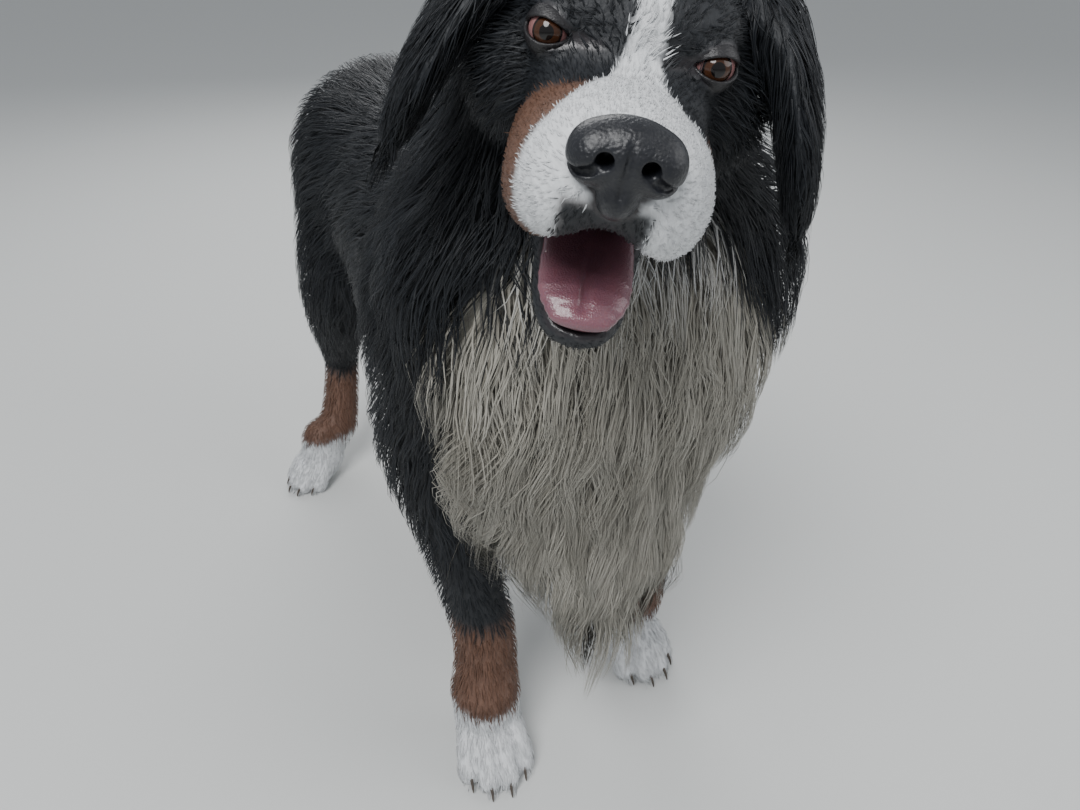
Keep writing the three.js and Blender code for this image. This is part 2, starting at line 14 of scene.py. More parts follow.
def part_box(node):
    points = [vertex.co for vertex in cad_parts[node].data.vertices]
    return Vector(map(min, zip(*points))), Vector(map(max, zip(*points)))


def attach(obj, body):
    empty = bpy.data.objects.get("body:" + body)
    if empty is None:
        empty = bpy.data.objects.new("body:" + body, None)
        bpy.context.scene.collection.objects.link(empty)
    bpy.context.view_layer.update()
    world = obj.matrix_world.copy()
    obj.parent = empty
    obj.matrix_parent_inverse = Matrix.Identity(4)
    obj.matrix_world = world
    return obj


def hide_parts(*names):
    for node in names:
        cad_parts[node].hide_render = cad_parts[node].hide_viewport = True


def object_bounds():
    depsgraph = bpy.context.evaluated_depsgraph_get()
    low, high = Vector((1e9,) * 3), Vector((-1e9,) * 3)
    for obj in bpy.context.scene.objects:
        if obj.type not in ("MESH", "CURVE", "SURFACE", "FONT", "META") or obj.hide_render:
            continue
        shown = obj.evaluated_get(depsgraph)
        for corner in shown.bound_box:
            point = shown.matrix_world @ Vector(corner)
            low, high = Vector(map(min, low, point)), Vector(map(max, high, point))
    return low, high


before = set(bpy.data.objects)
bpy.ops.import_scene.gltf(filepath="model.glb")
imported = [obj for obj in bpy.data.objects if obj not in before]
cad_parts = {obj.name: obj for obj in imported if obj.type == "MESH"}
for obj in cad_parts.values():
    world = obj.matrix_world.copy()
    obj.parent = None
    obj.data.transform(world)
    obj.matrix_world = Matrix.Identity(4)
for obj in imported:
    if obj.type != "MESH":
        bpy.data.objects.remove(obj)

CAD_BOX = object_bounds()
LOG = logging.getLogger("dog")

MM = 0.001
SEED = 11
UNWRAP = "OFBake"
FAR = 0.5  # metres, past every field
LEAST_HALF = 1.5  # millimetres that a limb's half width keeps under its coat
BODY = "root"
LEFT, RIGHT = 1, -1
SIDES = {"left": LEFT, "right": RIGHT}

# The head's pose and landmarks: millimetres and degrees, in the stance that the part is drawn in
HEAD_AT = (-42, -152, 801)
HEAD_TURN = -23
HEAD_LIFT = 1
HEAD_TILT = 11
EYE_RADIUS = 12
EYE_AT = (46, 12, -1)
JAW_HINGE = (0, 76, -62)
JAW_OPEN = 19
TOE_SPREAD = (-31, -11, 11, 31)
OUTER_TOE_BACK = 16
CAMERA_AT = (-250, -577, 870)
CAMERA_TURN = -20
CAMERA_DOWN = 32
CAMERA_LENS = 27.07


def head_turn() -> Matrix:
    """Gives the turn from the head's own frame to the stance."""
    turn = Matrix.Rotation(math.radians(HEAD_TURN), 3, "Z")
    lift = Matrix.Rotation(math.radians(-HEAD_LIFT), 3, "X")
    tilt = Matrix.Rotation(math.radians(HEAD_TILT), 3, "Y")
    return turn @ lift @ tilt


def box_middle(node: str) -> Vector:
    """Gives the middle of a node's box.

    Args:
        node: The node's name.

    Returns:
        The middle, in metres.
    """
    low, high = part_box(node)
    return (Vector(low) + Vector(high)) / 2


HEAD_AXES = head_turn()
# How far the part's frame is moved from the stance: the left eye is known in both
SHIFT = box_middle("eye_left") - (HEAD_AXES @ Vector(EYE_AT) + Vector(HEAD_AT)) * MM
HEAD = Matrix.Translation(Vector(HEAD_AT) * MM + SHIFT) @ HEAD_AXES.to_4x4()
JAW = (
    Matrix.Translation(Vector(JAW_HINGE) * MM)
    @ Matrix.Rotation(math.radians(JAW_OPEN), 4, "X")
    @ Matrix.Translation(-Vector(JAW_HINGE) * MM)
)


def stance(place: Sequence[float]) -> np.ndarray:
    """Turns a place in the stance, in millimetres, into one in the part's frame, in metres."""
    return np.array(place[:3]) * MM + np.array(SHIFT)


def local(place: Sequence[float]) -> np.ndarray:
    """Turns a place in a part's own frame from millimetres into metres."""
    return np.array(place[:3]) * MM


def moved(points: np.ndarray, matrix: Matrix) -> np.ndarray:
    """Moves points by a matrix.

    Args:
        points: One row for each point.
        matrix: A 4 by 4 matrix.

    Returns:
        The moved points.
    """
    turn = np.array(matrix.to_3x3())
    return points @ turn.T + np.array(matrix.translation)


def unit(vectors: np.ndarray) -> np.ndarray:
    """Scales each row to a length of one."""
    return vectors / np.maximum(np.linalg.norm(vectors, axis=1, keepdims=True), 1e-12)


class Solid:
    """A shape given by its depth: less than nought inside it, about a distance in metres outside."""

    low: np.ndarray
    high: np.ndarray

    def at(self, points: np.ndarray) -> np.ndarray:
        """Gives the depth at each point."""
        raise NotImplementedError

    def slope(self, points: np.ndarray, step: float = 0.0006) -> np.ndarray:
        """Gives the direction in which the depth grows, as unit rows.

        Args:
            points: One row for each point.
            step: How far apart the depths are taken.

        Returns:
            One unit row for each point, pointing out of the shape.
        """
        parts = []
        for axis in range(3):
            ahead = points.copy()
            ahead[:, axis] += step
            behind = points.copy()
            behind[:, axis] -= step
            parts.append(self.at(ahead) - self.at(behind))
        return unit(np.stack(parts, axis=1))


class Taper(Solid):
    """One tapered length between two stations of middle, half width, half depth."""

    def __init__(self, start: np.ndarray, end: np.ndarray, side: np.ndarray) -> None:
        """Keeps the two ends, each of five numbers in metres, and the side along which widths are taken."""
        self.start, self.way = start[:3], end[:3] - start[:3]
        self.wide, self.deep = (start[3], end[3]), (start[4], end[4])
        self.side = side
        self.long2 = max(float(self.way @ self.way), 1e-12)
        reach = max(*self.wide, *self.deep)
        self.low = np.minimum(start[:3], end[:3]) - reach
        self.high = np.maximum(start[:3], end[:3]) + reach

    def at(self, points: np.ndarray) -> np.ndarray:
        """Gives the depth at each point."""
        rel = points - self.start
        t = np.clip(rel @ self.way / self.long2, 0, 1)
        rel -= t[:, None] * self.way
        wide = self.wide[0] + t * (self.wide[1] - self.wide[0])
        deep = self.deep[0] + t * (self.deep[1] - self.deep[0])
        aside = rel @ self.side
        across2 = np.maximum(np.einsum("ij,ij->i", rel, rel) - aside * aside, 0)
        return (np.sqrt((aside / wide) ** 2 + across2 / deep**2) - 1) * np.minimum(wide, deep)


class Mass(Solid):
    """A rounded mass with three half widths."""

    def __init__(self, centre: np.ndarray, radii: np.ndarray) -> None:
        """Keeps the centre and the half widths, in metres."""
        self.centre, self.radii = centre, radii
        self.low, self.high = centre - radii, centre + radii

    def at(self, points: np.ndarray) -> np.ndarray:
        """Gives the depth at each point."""
        share = (points - self.centre) / self.radii
        near = np.linalg.norm(share, axis=1)
        slope = np.linalg.norm(share / self.radii, axis=1)
        return near * (near - 1) / np.maximum(slope, 1e-9)


class Blend(Solid):
    """Shapes joined, with the hollows between them filled."""

    spare = 0.035  # metres past a part's box within which it is still measured

    def __init__(self, fillet: float, parts: Sequence[Solid]) -> None:
        """Keeps the parts and the fillet's size in millimetres."""
        self.fillet, self.parts = fillet * MM, list(parts)
        self.reach = self.fillet * 1.3 + self.spare
        self.low = np.min([part.low for part in parts], axis=0)
        self.high = np.max([part.high for part in parts], axis=0)

    def at(self, points: np.ndarray) -> np.ndarray:
        """Gives the depth at each point, passing over parts that are far from it."""
        nearest = np.full(len(points), FAR)
        for part in self.parts:
            close = np.all((points > part.low - self.reach) & (points < part.high + self.reach), axis=1)
            rows = np.flatnonzero(close)
            if not len(rows):
                continue
            other = part.at(points[rows])
            here = nearest[rows]
            share = np.maximum(self.fillet - np.abs(here - other), 0) / self.fillet
            nearest[rows] = np.minimum(here, other) - share * share * self.fillet / 4
        return nearest


class Hollowed(Solid):
    """A shape with another cut out of it, and the edge between them rounded."""

    spare = 0.02  # metres past the tool's box within which it is still measured

    def __init__(self, fillet: float, body: Solid, tool: Solid) -> None:
        """Keeps the body, the tool and the edge's rounding in millimetres."""
        self.fillet, self.body, self.tool = fillet * MM, body, tool
        self.low, self.high = body.low, body.high

    def at(self, points: np.ndarray) -> np.ndarray:
        """Gives the depth at each point."""
        depth = self.body.at(points)
        reach = self.fillet + self.spare
        close = np.all((points > self.tool.low - reach) & (points < self.tool.high + reach), axis=1)
        rows = np.flatnonzero(close)
        if len(rows):
            other = -self.tool.at(points[rows])
            here = depth[rows]
            share = np.maximum(self.fillet - np.abs(here - other), 0) / self.fillet
            depth[rows] = np.maximum(here, other) + share * share * self.fillet / 4
        return depth


class Placed(Solid):
    """A shape moved from its own frame."""

    def __init__(self, part: Solid, matrix: Matrix) -> None:
        """Keeps the part and the matrix that turns, sizes and moves it."""
        self.part, self.back = part, matrix.inverted()
        self.size = matrix.median_scale
        corners = np.array(np.meshgrid(*zip(part.low, part.high))).reshape(3, 8).T
        placed = moved(corners, matrix)
        self.low, self.high = placed.min(axis=0), placed.max(axis=0)

    def at(self, points: np.ndarray) -> np.ndarray:
        """Gives the depth at each point."""
        return self.part.at(moved(points, self.back)) * self.size


def smoothed(rows: np.ndarray) -> np.ndarray:
    """Puts two more stations between each pair, on a smooth curve through them all.

    Args:
        rows: One row for each station.

    Returns:
        The rows with the new ones between them.
    """
    padded = np.vstack([rows[:1], rows, rows[-1:]])
    out = [rows[0]]
    for before, here, after, last in zip(padded, padded[1:], padded[2:], padded[3:]):
        lead, trail, rise = (after - before) / 2, (last - here) / 2, after - here
        for t in (1 / 3, 2 / 3, 1):
            bend = (3 * rise - 2 * lead - trail) * t**2 + (lead + trail - 2 * rise) * t**3
            out.append(here + lead * t + bend)
    return np.array(out)


class Region(Enum):
    """The regions of the coat, each with hair of its own kind."""

    MUZZLE = 0
    SKULL = 1
    CHEEK = 2
    EAR = 3
    NECK = 4
    CHEST = 5
    TRUNK = 6
    THIGH = 7
    SHANK = 8
    PAW = 9
    TAIL = 10
    BREECH = 11


@dataclass(frozen=True)
class Limb:
    """A length of the body: stations of x, y, z, half width, half depth and coat depth, in millimetres."""

    region: Region
    rows: tuple[tuple[float, ...], ...]
    side: tuple[float, float, float] = (1, 0, 0)
    shaft: Callable[[Sequence[float]], np.ndarray] = stance
    fillet: float = 2

    def tapers(self, share: float, fine: bool = True) -> list[Taper]:
        """Makes the limb's tapered lengths.

        Args:
            share: How much of the coat's depth is taken off: 0 gives the coat's tips, 1 the skin.
            fine: Whether more stations are put in.

        Returns:
            The lengths, from the first station to the last.
        """
        table = []
        for row in self.rows:
            coat = row[5] * share
            table.append([*self.shaft(row), *(max(half - coat, LEAST_HALF) * MM for half in row[3:5])])
        stations = smoothed(np.array(table)) if fine else np.array(table)
        side = unit(np.array([self.side], dtype=float))[0]
        return [Taper(a, b, side) for a, b in zip(stations, stations[1:])]

    def solid(self, share: float) -> Blend:
        """Makes the whole limb, with the share of its coat taken off."""
        return Blend(self.fillet, self.tapers(share))


@dataclass(frozen=True)
class Swell:
    """A rounded mass of the body: its middle, three half widths, coat depth and lie, in millimetres."""

    region: Region
    centre: tuple[float, float, float]
    radii: tuple[float, float, float]
    coat: float
    lie: tuple[float, float, float]
    shaft: Callable[[Sequence[float]], np.ndarray] = stance

    def solid(self, share: float) -> Mass:
        """Makes the mass, with the share of its coat taken off."""
        return Mass(self.shaft(self.centre), (np.array(self.radii) - self.coat * share) * MM)


def mirrored(row: Sequence[float], side: int) -> tuple[float, ...]:
    """Gives a left-hand row for a side, by turning its first number round on the right."""
    return (row[0] * side, *row[1:])


CROUP_ASIDE = -34
TRUNK = Limb(Region.TRUNK, (
    (20, 70, 505, 150, 148, 30),
    (18, 190, 500, 180, 190, 30),
    (8, 380, 513, 172, 172, 28),
    (-12, 545, 528, 150, 150, 26),
    (CROUP_ASIDE, 660, 545, 136, 142, 26),
))
WITHERS = Swell(Region.TRUNK, (16, 170, 600), (118, 150, 105), 27, (0, 1, 0))
NECK = Limb(Region.NECK, (
    (-6, 0, 758, 112, 94, 34),
    (10, 48, 680, 146, 120, 38),
    (20, 115, 565, 184, 155, 34),
))
RUFF = Swell(Region.NECK, (22, 12, 602), (200, 108, 148), 36, (0, 0.4, -1))
TAIL = Limb(Region.TAIL, (
    (CROUP_ASIDE - 2, 770, 600, 38, 38, 20),
    (CROUP_ASIDE - 8, 822, 556, 46, 46, 26),
    (CROUP_ASIDE - 12, 850, 460, 58, 56, 34),
    (CROUP_ASIDE - 16, 854, 350, 60, 58, 38),
    (CROUP_ASIDE - 18, 836, 255, 38, 36, 26),
    (CROUP_ASIDE - 18, 822, 210, 16, 16, 10),
))
CHEST = Limb(Region.CHEST, (
    (6, -46, 640, 104, 44, 26),
    (12, -38, 545, 150, 62, 28),
    (8, -30, 475, 150, 64, 30),
    (3, -22, 408, 122, 58, 30),
    (8, -35, 358, 90, 48, 28),
    (5, -50, 319, 62, 36, 25),
    (3, -58, 286, 36, 22, 18),
), fillet=9)
BREECHES = tuple(
    Limb(Region.BREECH, (
        (x, 740, 490, 58, 62, 30),
        (x, 762, 390, 46, 48, 28),
        (x * 0.98, 768, 310, 28, 30, 20),
    ))
    for x in (-124, 46)
)


@dataclass(frozen=True)
class Leg:
    """A leg: its stations, where its middle toes' tips stand, and its foot's heading and size."""

    name: str
    rows: tuple[tuple[float, ...], ...]
    toes: tuple[float, float]
    heading: float
    size: float

    def foot(self) -> Matrix:
        """Gives the matrix that sets the paw down."""
        outwards = self.heading if self.name.endswith("left") else -self.heading
        place = Matrix.Translation(Vector(stance((*self.toes, 0))))
        return place @ Matrix.Rotation(math.radians(outwards), 4, "Z") @ Matrix.Scale(self.size, 4)

    def limbs(self) -> tuple[Limb, Limb]:
        """Gives the leg's upper and lower limb, for the coat, which share a station."""
        return Limb(Region.THIGH, self.rows[:3]), Limb(Region.SHANK, self.rows[2:])

    def solid(self, share: float) -> Blend:
        """Makes the leg and its paw, with the share of their coat taken off."""
        return Blend(22, [Limb(Region.THIGH, self.rows).solid(share), Placed(paw(share), self.foot())])


LEGS = (
    Leg("fore_right", (
        (-104, 105, 500, 70, 95, 26),
        (-120, 122, 385, 60, 80, 22),
        (-110, 106, 318, 48, 62, 15),
        (-87, 66, 170, 39, 43, 7),
        (-93, 42, 92, 38, 40, 5),
    ), (-103, -47), 6, 1),
    Leg("fore_left", (
        (140, 110, 500, 70, 95, 26),
        (158, 142, 385, 60, 80, 22),
        (152, 136, 318, 48, 62, 15),
        (141, 124, 170, 38, 43, 7),
        (138, 118, 92, 38, 40, 5),
    ), (137, 36), 12, 1),
    Leg("hind_right", (
        (-116, 645, 510, 68, 124, 26),
        (-142, 604, 412, 64, 108, 24),
        (-154, 636, 325, 50, 80, 17),
        (-150, 704, 212, 33, 46, 7),
        (-154, 696, 165, 30, 40, 6),
        (-172, 672, 86, 33, 38, 5),
    ), (-268, 603), 52, 0.93),
    Leg("hind_left", (
        (48, 645, 510, 68, 124, 26),
        (62, 624, 412, 64, 108, 24),
        (62, 664, 325, 50, 80, 17),
        (58, 752, 208, 33, 46, 7),
        (57, 764, 165, 30, 40, 6),
        (56, 750, 86, 32, 38, 5),
    ), (54, 668), 4, 0.93),
)


def toe_back(across: float) -> float:
    """Gives how far a toe stands behind the middle ones, in millimetres."""
    return OUTER_TOE_BACK if abs(across) == max(TOE_SPREAD) else 0


def paw_limbs() -> list[Limb]:
    """Gives a paw's heel and toes in its own frame, toes to -Y."""
    heel = ((0, 84, 78, 37, 40, 5), (0, 80, 46, 40, 40, 4), (0, 66, 26, 38, 30, 3))
    limbs = [Limb(Region.PAW, heel, shaft=local)]
    for across in TOE_SPREAD:
        back = toe_back(across)
        limbs.append(Limb(Region.PAW, (
            (across * 0.5, 78, 44, 20, 20, 4),
            (across * 0.85, 44 + back * 0.5, 34, 17, 19, 3),
            (across, 17 + back, 13, 15, 17, 2.5),
        ), shaft=local))
    return limbs


def paw(share: float) -> Blend:
    """Makes a paw in its own frame, with the share of its coat taken off."""
    return Blend(7 - 3 * share, [limb.solid(share) for limb in paw_limbs()])


def both(make: Callable[[int], object]) -> list:
    """Makes something for the left and for the right."""
    return [make(side) for side in SIDES.values()]


BACK = (0, 1, 0)
SKULL = (
    Swell(Region.SKULL, (0, 78, 4), (78, 86, 55), 7, BACK, local),
    Swell(Region.SKULL, (0, 34, 2), (46, 34, 36), 4.5, BACK, local),
    *both(lambda s: Swell(Region.SKULL, (34 * s, 27, 15), (26, 22, 16), 4, (0.5 * s, 1, 0.5), local)),
    *both(lambda s: Swell(Region.CHEEK, (60 * s, 66, -30), (37, 54, 47), 10, (0.3 * s, 1, -0.55), local)),
)
MUZZLE = (
    Limb(Region.MUZZLE, (
        (0, -84, -43, 41, 30, 2.5),
        (0, -50, -44, 46, 33, 2.5),
        (0, 14, -42, 50, 36, 3),
    ), shaft=local),
    *both(lambda s: Limb(Region.MUZZLE, tuple(mirrored(row, s) for row in (
        (25, -82, -59, 20, 24, 2.5),
        (33, -52, -63, 24, 30, 2.5),
        (32, -2, -58, 27, 32, 3),
    )), shaft=local)),
    *both(lambda s: Swell(Region.MUZZLE, (30 * s, 8, -26), (20, 28, 15), 3, (0.5 * s, 1, 0.2), local)),
)
CHIN = Limb(Region.MUZZLE, (
    (0, -78, -89, 22, 15, 2.5),
    (0, -62, -90, 29, 18, 3),
    (0, -10, -88, 36, 22, 4),
    (0, 58, -74, 50, 26, 8),
), shaft=local)
EAR_FACES = (0.93, -0.18, 0.3)
EARS = both(lambda s: Limb(Region.EAR, tuple(mirrored(row, s) for row in (
    (72, 66, 26, 17, 28, 8),
    (96, 60, 6, 17, 44, 9.5),
    (118, 50, -38, 16, 44, 10),
    (128, 44, -72, 12, 22, 8),
)), side=mirrored(EAR_FACES, s), shaft=local))
TONGUE = (
    (0, 30, -72, 24, 9),
    (0, -30, -73, 27, 9),
    (0, -70, -73, 26, 8),
    (0, -86, -77, 18, 6),
)
PALATE = Mass(local((0, -46, -93)), local((31, 68, 23)))  # the hollow of the mouth, in the head's frame


class Anatomy:
    """The whole dog as one shape, out to the coat's tips or in to the skin."""

    def head(self, share: float) -> Blend:
        """Makes the skull and muzzle in the head's frame, with the share of their coat taken off."""
        skull = Blend(20, [part.solid(share) for part in SKULL])
        muzzle = Blend(12, [part.solid(share) for part in MUZZLE])
        return Blend(20, [skull, muzzle])

    def flesh(self, share: float) -> Blend:
        """Makes head, trunk, legs, chest hair and tail in the part's frame, without the mouth and ears."""
        limbs = [part.solid(share) for part in (TRUNK, WITHERS, NECK, RUFF)]
        legs = [leg.solid(share) for leg in LEGS]
        breeches = [part.solid(share) for part in BREECHES]
        body = Blend(46, [*limbs, *legs, *breeches])
        with_head = Blend(30, [body, Placed(self.head(share), HEAD)])
        return Blend(24, [with_head, CHEST.solid(share), TAIL.solid(share)])

    def outer(self) -> Blend:
        """Makes the dog out to the tips of its coat."""
        jaw = Placed(Placed(CHIN.solid(0), JAW), HEAD)
        ears = [Placed(ear.solid(0), HEAD) for ear in EARS]
        return Blend(3, [self.flesh(0), jaw, *ears])

    def skin(self) -> Solid:
        """Makes the dog's skin, with the mouth open and the eyelids round the eyes."""
        whole = Hollowed(5, self.flesh(1), Placed(PALATE, HEAD))
        jaw = Placed(Placed(CHIN.solid(1), JAW), HEAD)
        ears = [Placed(ear.solid(1), HEAD) for ear in EARS]
        whole = Blend(7, [whole, jaw, *ears])
        trough = Placed(Placed(Blend(2, self.tongue(TONGUE_ROOM)), JAW), HEAD)
        whole = Hollowed(2, whole, trough)
        lids = both(lambda s: Placed(Mass(local(mirrored(EYE_AT, s)), np.full(3, LID_RADIUS * MM)), HEAD))
        whole = Blend(7, [whole, *lids])
        for s in SIDES.values():
            whole = Hollowed(1.6, whole, Placed(eye_opening(s, 1.6), HEAD))
        return whole

    def tongue(self, growth: float) -> list[Taper]:
        """Makes the tongue's tapered lengths in the shut mouth.

        Args:
            growth: How much is added all round, in millimetres.

        Returns:
            The lengths, from root to tip.
        """
        table = [[*local(row), (row[3] + growth) * MM, (row[4] + growth) * MM] for row in TONGUE]
        stations = smoothed(np.array(table))
        return [Taper(a, b, np.array([1.0, 0, 0])) for a, b in zip(stations, stations[1:])]


# What stays bare round the nose and in the mouth, in the head's frame, with its reach in millimetres
BARE = (
    (Mass(local((0, -108, -31)), local((27, 17, 18))), 1.0),
    (Mass(local((0, -107, -47)), local((12, 15, 14))), 1.0),
    (PALATE, 2.6),
)
TONGUE_ROOM = 2.5  # millimetres of room round the tongue
LID_RADIUS = 14.2
EYE_LOOK = (0.32, -1, 0.04)  # where the left eye's opening faces, in the head's frame
EYE_GAZE = (0.12, -1, 0.0)  # where the left eye looks
EYE_ROOM = 0.15  # millimetres of room round the ball
# The eye's opening: places across it with the half heights there, its slope, its distance and its depth
ALMOND = ((-10.5, 1.6), (-5, 4.7), (0.5, 5.7), (6, 4.6), (10, 1.9))
ALMOND_SLANT = 0.10
ALMOND_AHEAD = 13
ALMOND_DEPTH = 9


def eye_opening(side: int, wider: float = 0.0) -> Blend:
    """Makes what is cut out for an eye: the ball's own space and an almond in front of it.

    Args:
        side: LEFT or RIGHT.
        wider: How much larger the almond is, in millimetres.

    Returns:
        The shape, in the head's frame.
    """
    eye = np.array(mirrored(EYE_AT, side), dtype=float)
    look = unit(np.array([mirrored(EYE_LOOK, side)], dtype=float))[0]
    across = unit(np.cross([[0, 0, 1.0]], look[None]))[0]
    if across[0] * side < 0:
        across = -across
    almond = []
    for reach, half in ALMOND:
        middle = eye + look * ALMOND_AHEAD + across * reach + np.array([0, 0, ALMOND_SLANT * reach])
        almond.append([*(middle * MM), (half + wider) * MM, ALMOND_DEPTH * MM])
    rows = np.array(almond)
    up = np.array([0, 0, 1.0])
    slit = Blend(2, [Taper(a, b, up) for a, b in zip(rows, rows[1:])])
    ball = Mass(eye * MM, np.full(3, (EYE_RADIUS + EYE_ROOM) * MM))
    return Blend(0.5, [ball, slit])


def bare_depth(points: np.ndarray) -> np.ndarray:
    """Gives how far each point is outside what carries no hair: nose, lips, mouth and lids.

    Args:
        points: Points in the part's frame.

    Returns:
        The distances in metres, below 0 inside.
    """
    head = moved(points, HEAD.inverted())
    solids = [*BARE, (Placed(Blend(2, Anatomy().tongue(TONGUE_ROOM)), JAW), 3.4)]
    solids += [(eye_opening(side), 2.4) for side in SIDES.values()]
    return np.min([solid.at(head) - reach * MM for solid, reach in solids], axis=0)


@dataclass
class Net:
    """A closed surface drawn on a shape, on a grid whose steps may differ along each axis."""

    shape: Solid
    lines: tuple[np.ndarray, np.ndarray, np.ndarray]
    block: int = 10  # steps to a side of the blocks that are searched first
    spare: float = 0.004  # metres past a block within which the surface may be
    batch: int = 60_000  # points that are measured at once
    pull: float = 0.35  # the share of a step that a point may move on to the shape

    def depths(self) -> np.ndarray:
        """Gives the depth at each crossing of the grid: exact near the surface, only its sign elsewhere."""
        counts = [len(line) for line in self.lines]
        starts = [np.arange(0, count, self.block) for count in counts]
        ends = [np.minimum(start + self.block, count - 1) for start, count in zip(starts, counts)]
        middles = [(line[a] + line[b]) / 2 for line, a, b in zip(self.lines, starts, ends)]
        halves = [(line[b] - line[a]) / 2 for line, a, b in zip(self.lines, starts, ends)]
        grid = np.stack(np.meshgrid(*middles, indexing="ij"), axis=-1).reshape(-1, 3)
        reach = np.linalg.norm(np.stack(np.meshgrid(*halves, indexing="ij"), axis=-1).reshape(-1, 3), axis=1)
        coarse = self.shape.at(grid)
        shape = tuple(len(start) for start in starts)
        values = np.where(coarse > 0, FAR, -FAR).reshape(shape)
        for axis in range(3):
            values = np.repeat(values, self.block, axis=axis).take(np.arange(counts[axis]), axis=axis)
        near = (np.abs(coarse) < reach * 1.1 + self.spare).reshape(shape)
        mask = np.zeros(counts, dtype=bool)
        for cell in np.argwhere(near):
            mask[tuple(slice(starts[axis][n], ends[axis][n] + 1) for axis, n in enumerate(cell))] = True
        rows = np.argwhere(mask)
        points = np.stack([self.lines[axis][rows[:, axis]] for axis in range(3)], axis=1)
        parts = np.array_split(points, max(1, len(points) // self.batch))
        values[mask] = np.concatenate([self.shape.at(part) for part in parts])
        for axis in range(3):
            rim = [slice(None)] * 3
            for edge in (0, -1):
                rim[axis] = edge
                values[tuple(rim)] = FAR
        return values

    def draw(self, settle: int = 2) -> tuple[np.ndarray, np.ndarray]:
        """Draws the surface.

        Args:
            settle: How often the points are drawn on to the shape.

        Returns:
            The points, and the quads as rows of four numbers of points.
        """
        values = self.depths()
        mend_checkers(values)
        inside = values < 0
        corners = [(a, b, c) for a in (0, 1) for b in (0, 1) for c in (0, 1)]
        size = tuple(count - 1 for count in values.shape)
        part = lambda array, corner: array[tuple(slice(o, o + n) for o, n in zip(corner, size))]
        total = sum(part(inside, corner).astype(np.int8) for corner in corners)
        cells = np.argwhere((total > 0) & (total < len(corners)))
        held = {corner: values[tuple((cells + corner).T)] for corner in corners}
        share = self.middles(held)
        steps = np.stack([np.diff(line)[cells[:, axis]] for axis, line in enumerate(self.lines)], axis=1)
        lows = np.stack([line[cells[:, axis]] for axis, line in enumerate(self.lines)], axis=1)
        points = lows + share * steps
        number = np.full(size, -1, dtype=np.int64)
        number[tuple(cells.T)] = np.arange(len(cells))
        quads = self.faces(inside, number)
        for _ in range(settle):
            points = drawn_on(self.shape, points, steps.min(axis=1) * self.pull)
        return points, quads

    def middles(self, held: dict[tuple[int, int, int], np.ndarray]) -> np.ndarray:
        """Gives the middle of the places where the surface crosses each cell's edges.

        Args:
            held: The depths at each corner of the cells.

        Returns:
            The places, as shares of the cell's step along each axis.
        """
        count = len(held[0, 0, 0])
        crossings = np.zeros((count, 3))
        weights = np.zeros(count)
        for a in held:
            for axis in range(3):
                if a[axis]:
                    continue
                b = tuple(1 if axis == n else a[n] for n in range(3))
                cross = (held[a] < 0) != (held[b] < 0)
                t = np.where(cross, held[a] / np.where(cross, held[a] - held[b], 1), 0)
                spot = np.tile(np.array(a, dtype=float), (count, 1))
                spot[:, axis] += t
                crossings += spot * cross[:, None]
                weights += cross
        return crossings / weights[:, None]

    def faces(self, inside: np.ndarray, number: np.ndarray) -> np.ndarray:
        """Makes a quad across each line of the grid that passes through the surface.

        Args:
            inside: Whether each crossing of the grid is inside the shape.
            number: The number of the point in each cell.

        Returns:
            The quads, facing out.
        """
        found = []
        for axis in range(3):
            u, v = (axis + 1) % 3, (axis + 2) % 3
            lower = [slice(1, -1)] * 3
            upper = [slice(1, -1)] * 3
            lower[axis], upper[axis] = slice(0, -1), slice(1, None)
            a, b = inside[tuple(lower)], inside[tuple(upper)]
            spots = np.argwhere(a != b)
            out = a[tuple(spots.T)]
            for n in (u, v):
                spots[:, n] += 1
            ring = []
            for du, dv in ((0, 0), (-1, 0), (-1, -1), (0, -1)):
                cell = spots.copy()
                cell[:, u] += du
                cell[:, v] += dv
                ring.append(number[tuple(cell.T)])
            quad = np.stack(ring, axis=1)
            found.append(np.where(out[:, None], quad, quad[:, ::-1]))
        return np.concatenate(found)


def mend_checkers(values: np.ndarray, rounds: int = 6) -> None:
    """Fills an outside corner of grid faces that are inside and outside like a checkerboard.

    Args:
        values: The depths on the grid, which are changed.
        rounds: How often the grid is looked through, at most.
    """
    inner = -1e-6
    for _ in range(rounds):
        inside = values < 0
        changed = False
        for u, v in ((0, 1), (0, 2), (1, 2)):
            cut = lambda du, dv: tuple(
                slice(du, du - 1 or None) if n == u else slice(dv, dv - 1 or None) if n == v else slice(None)
                for n in range(3)
            )
            a, b, c, d = (inside[cut(*o)] for o in ((0, 0), (1, 0), (0, 1), (1, 1)))
            bad = (a == d) & (b == c) & (a != b)
            if not bad.any():
                continue
            changed = True
            for offset in ((0, 0), (1, 0), (0, 1), (1, 1)):
                view = values[cut(*offset)]
                fill = bad & (view >= 0)
                view[fill] = inner
        if not changed:
            return


def drawn_on(shape: Solid, points: np.ndarray, limit: np.ndarray, step: float = 0.0003) -> np.ndarray:
    """Moves points on to a shape's surface.

    Args:
        shape: The shape.
        points: The points.
        limit: How far each may move.
        step: How far apart the depths are taken.

    Returns:
        The moved points.
    """
    flattest = 0.04  # the least square of the slope that is trusted
    here = shape.at(points)
    parts = []
    for axis in range(3):
        ahead = points.copy()
        ahead[:, axis] += step
        parts.append((shape.at(ahead) - here) / step)
    slope = np.stack(parts, axis=1)
    steep = np.einsum("ij,ij->i", slope, slope)
    length = np.sqrt(np.maximum(steep, flattest))
    move = np.clip(here / length, -limit, limit) / length
    return points - slope * move[:, None]


def shade_smooth(mesh: bpy.types.Mesh) -> None:
    """Shades every face of a mesh smooth."""
    mesh.polygons.foreach_set("use_smooth", np.ones(len(mesh.polygons), dtype=bool))


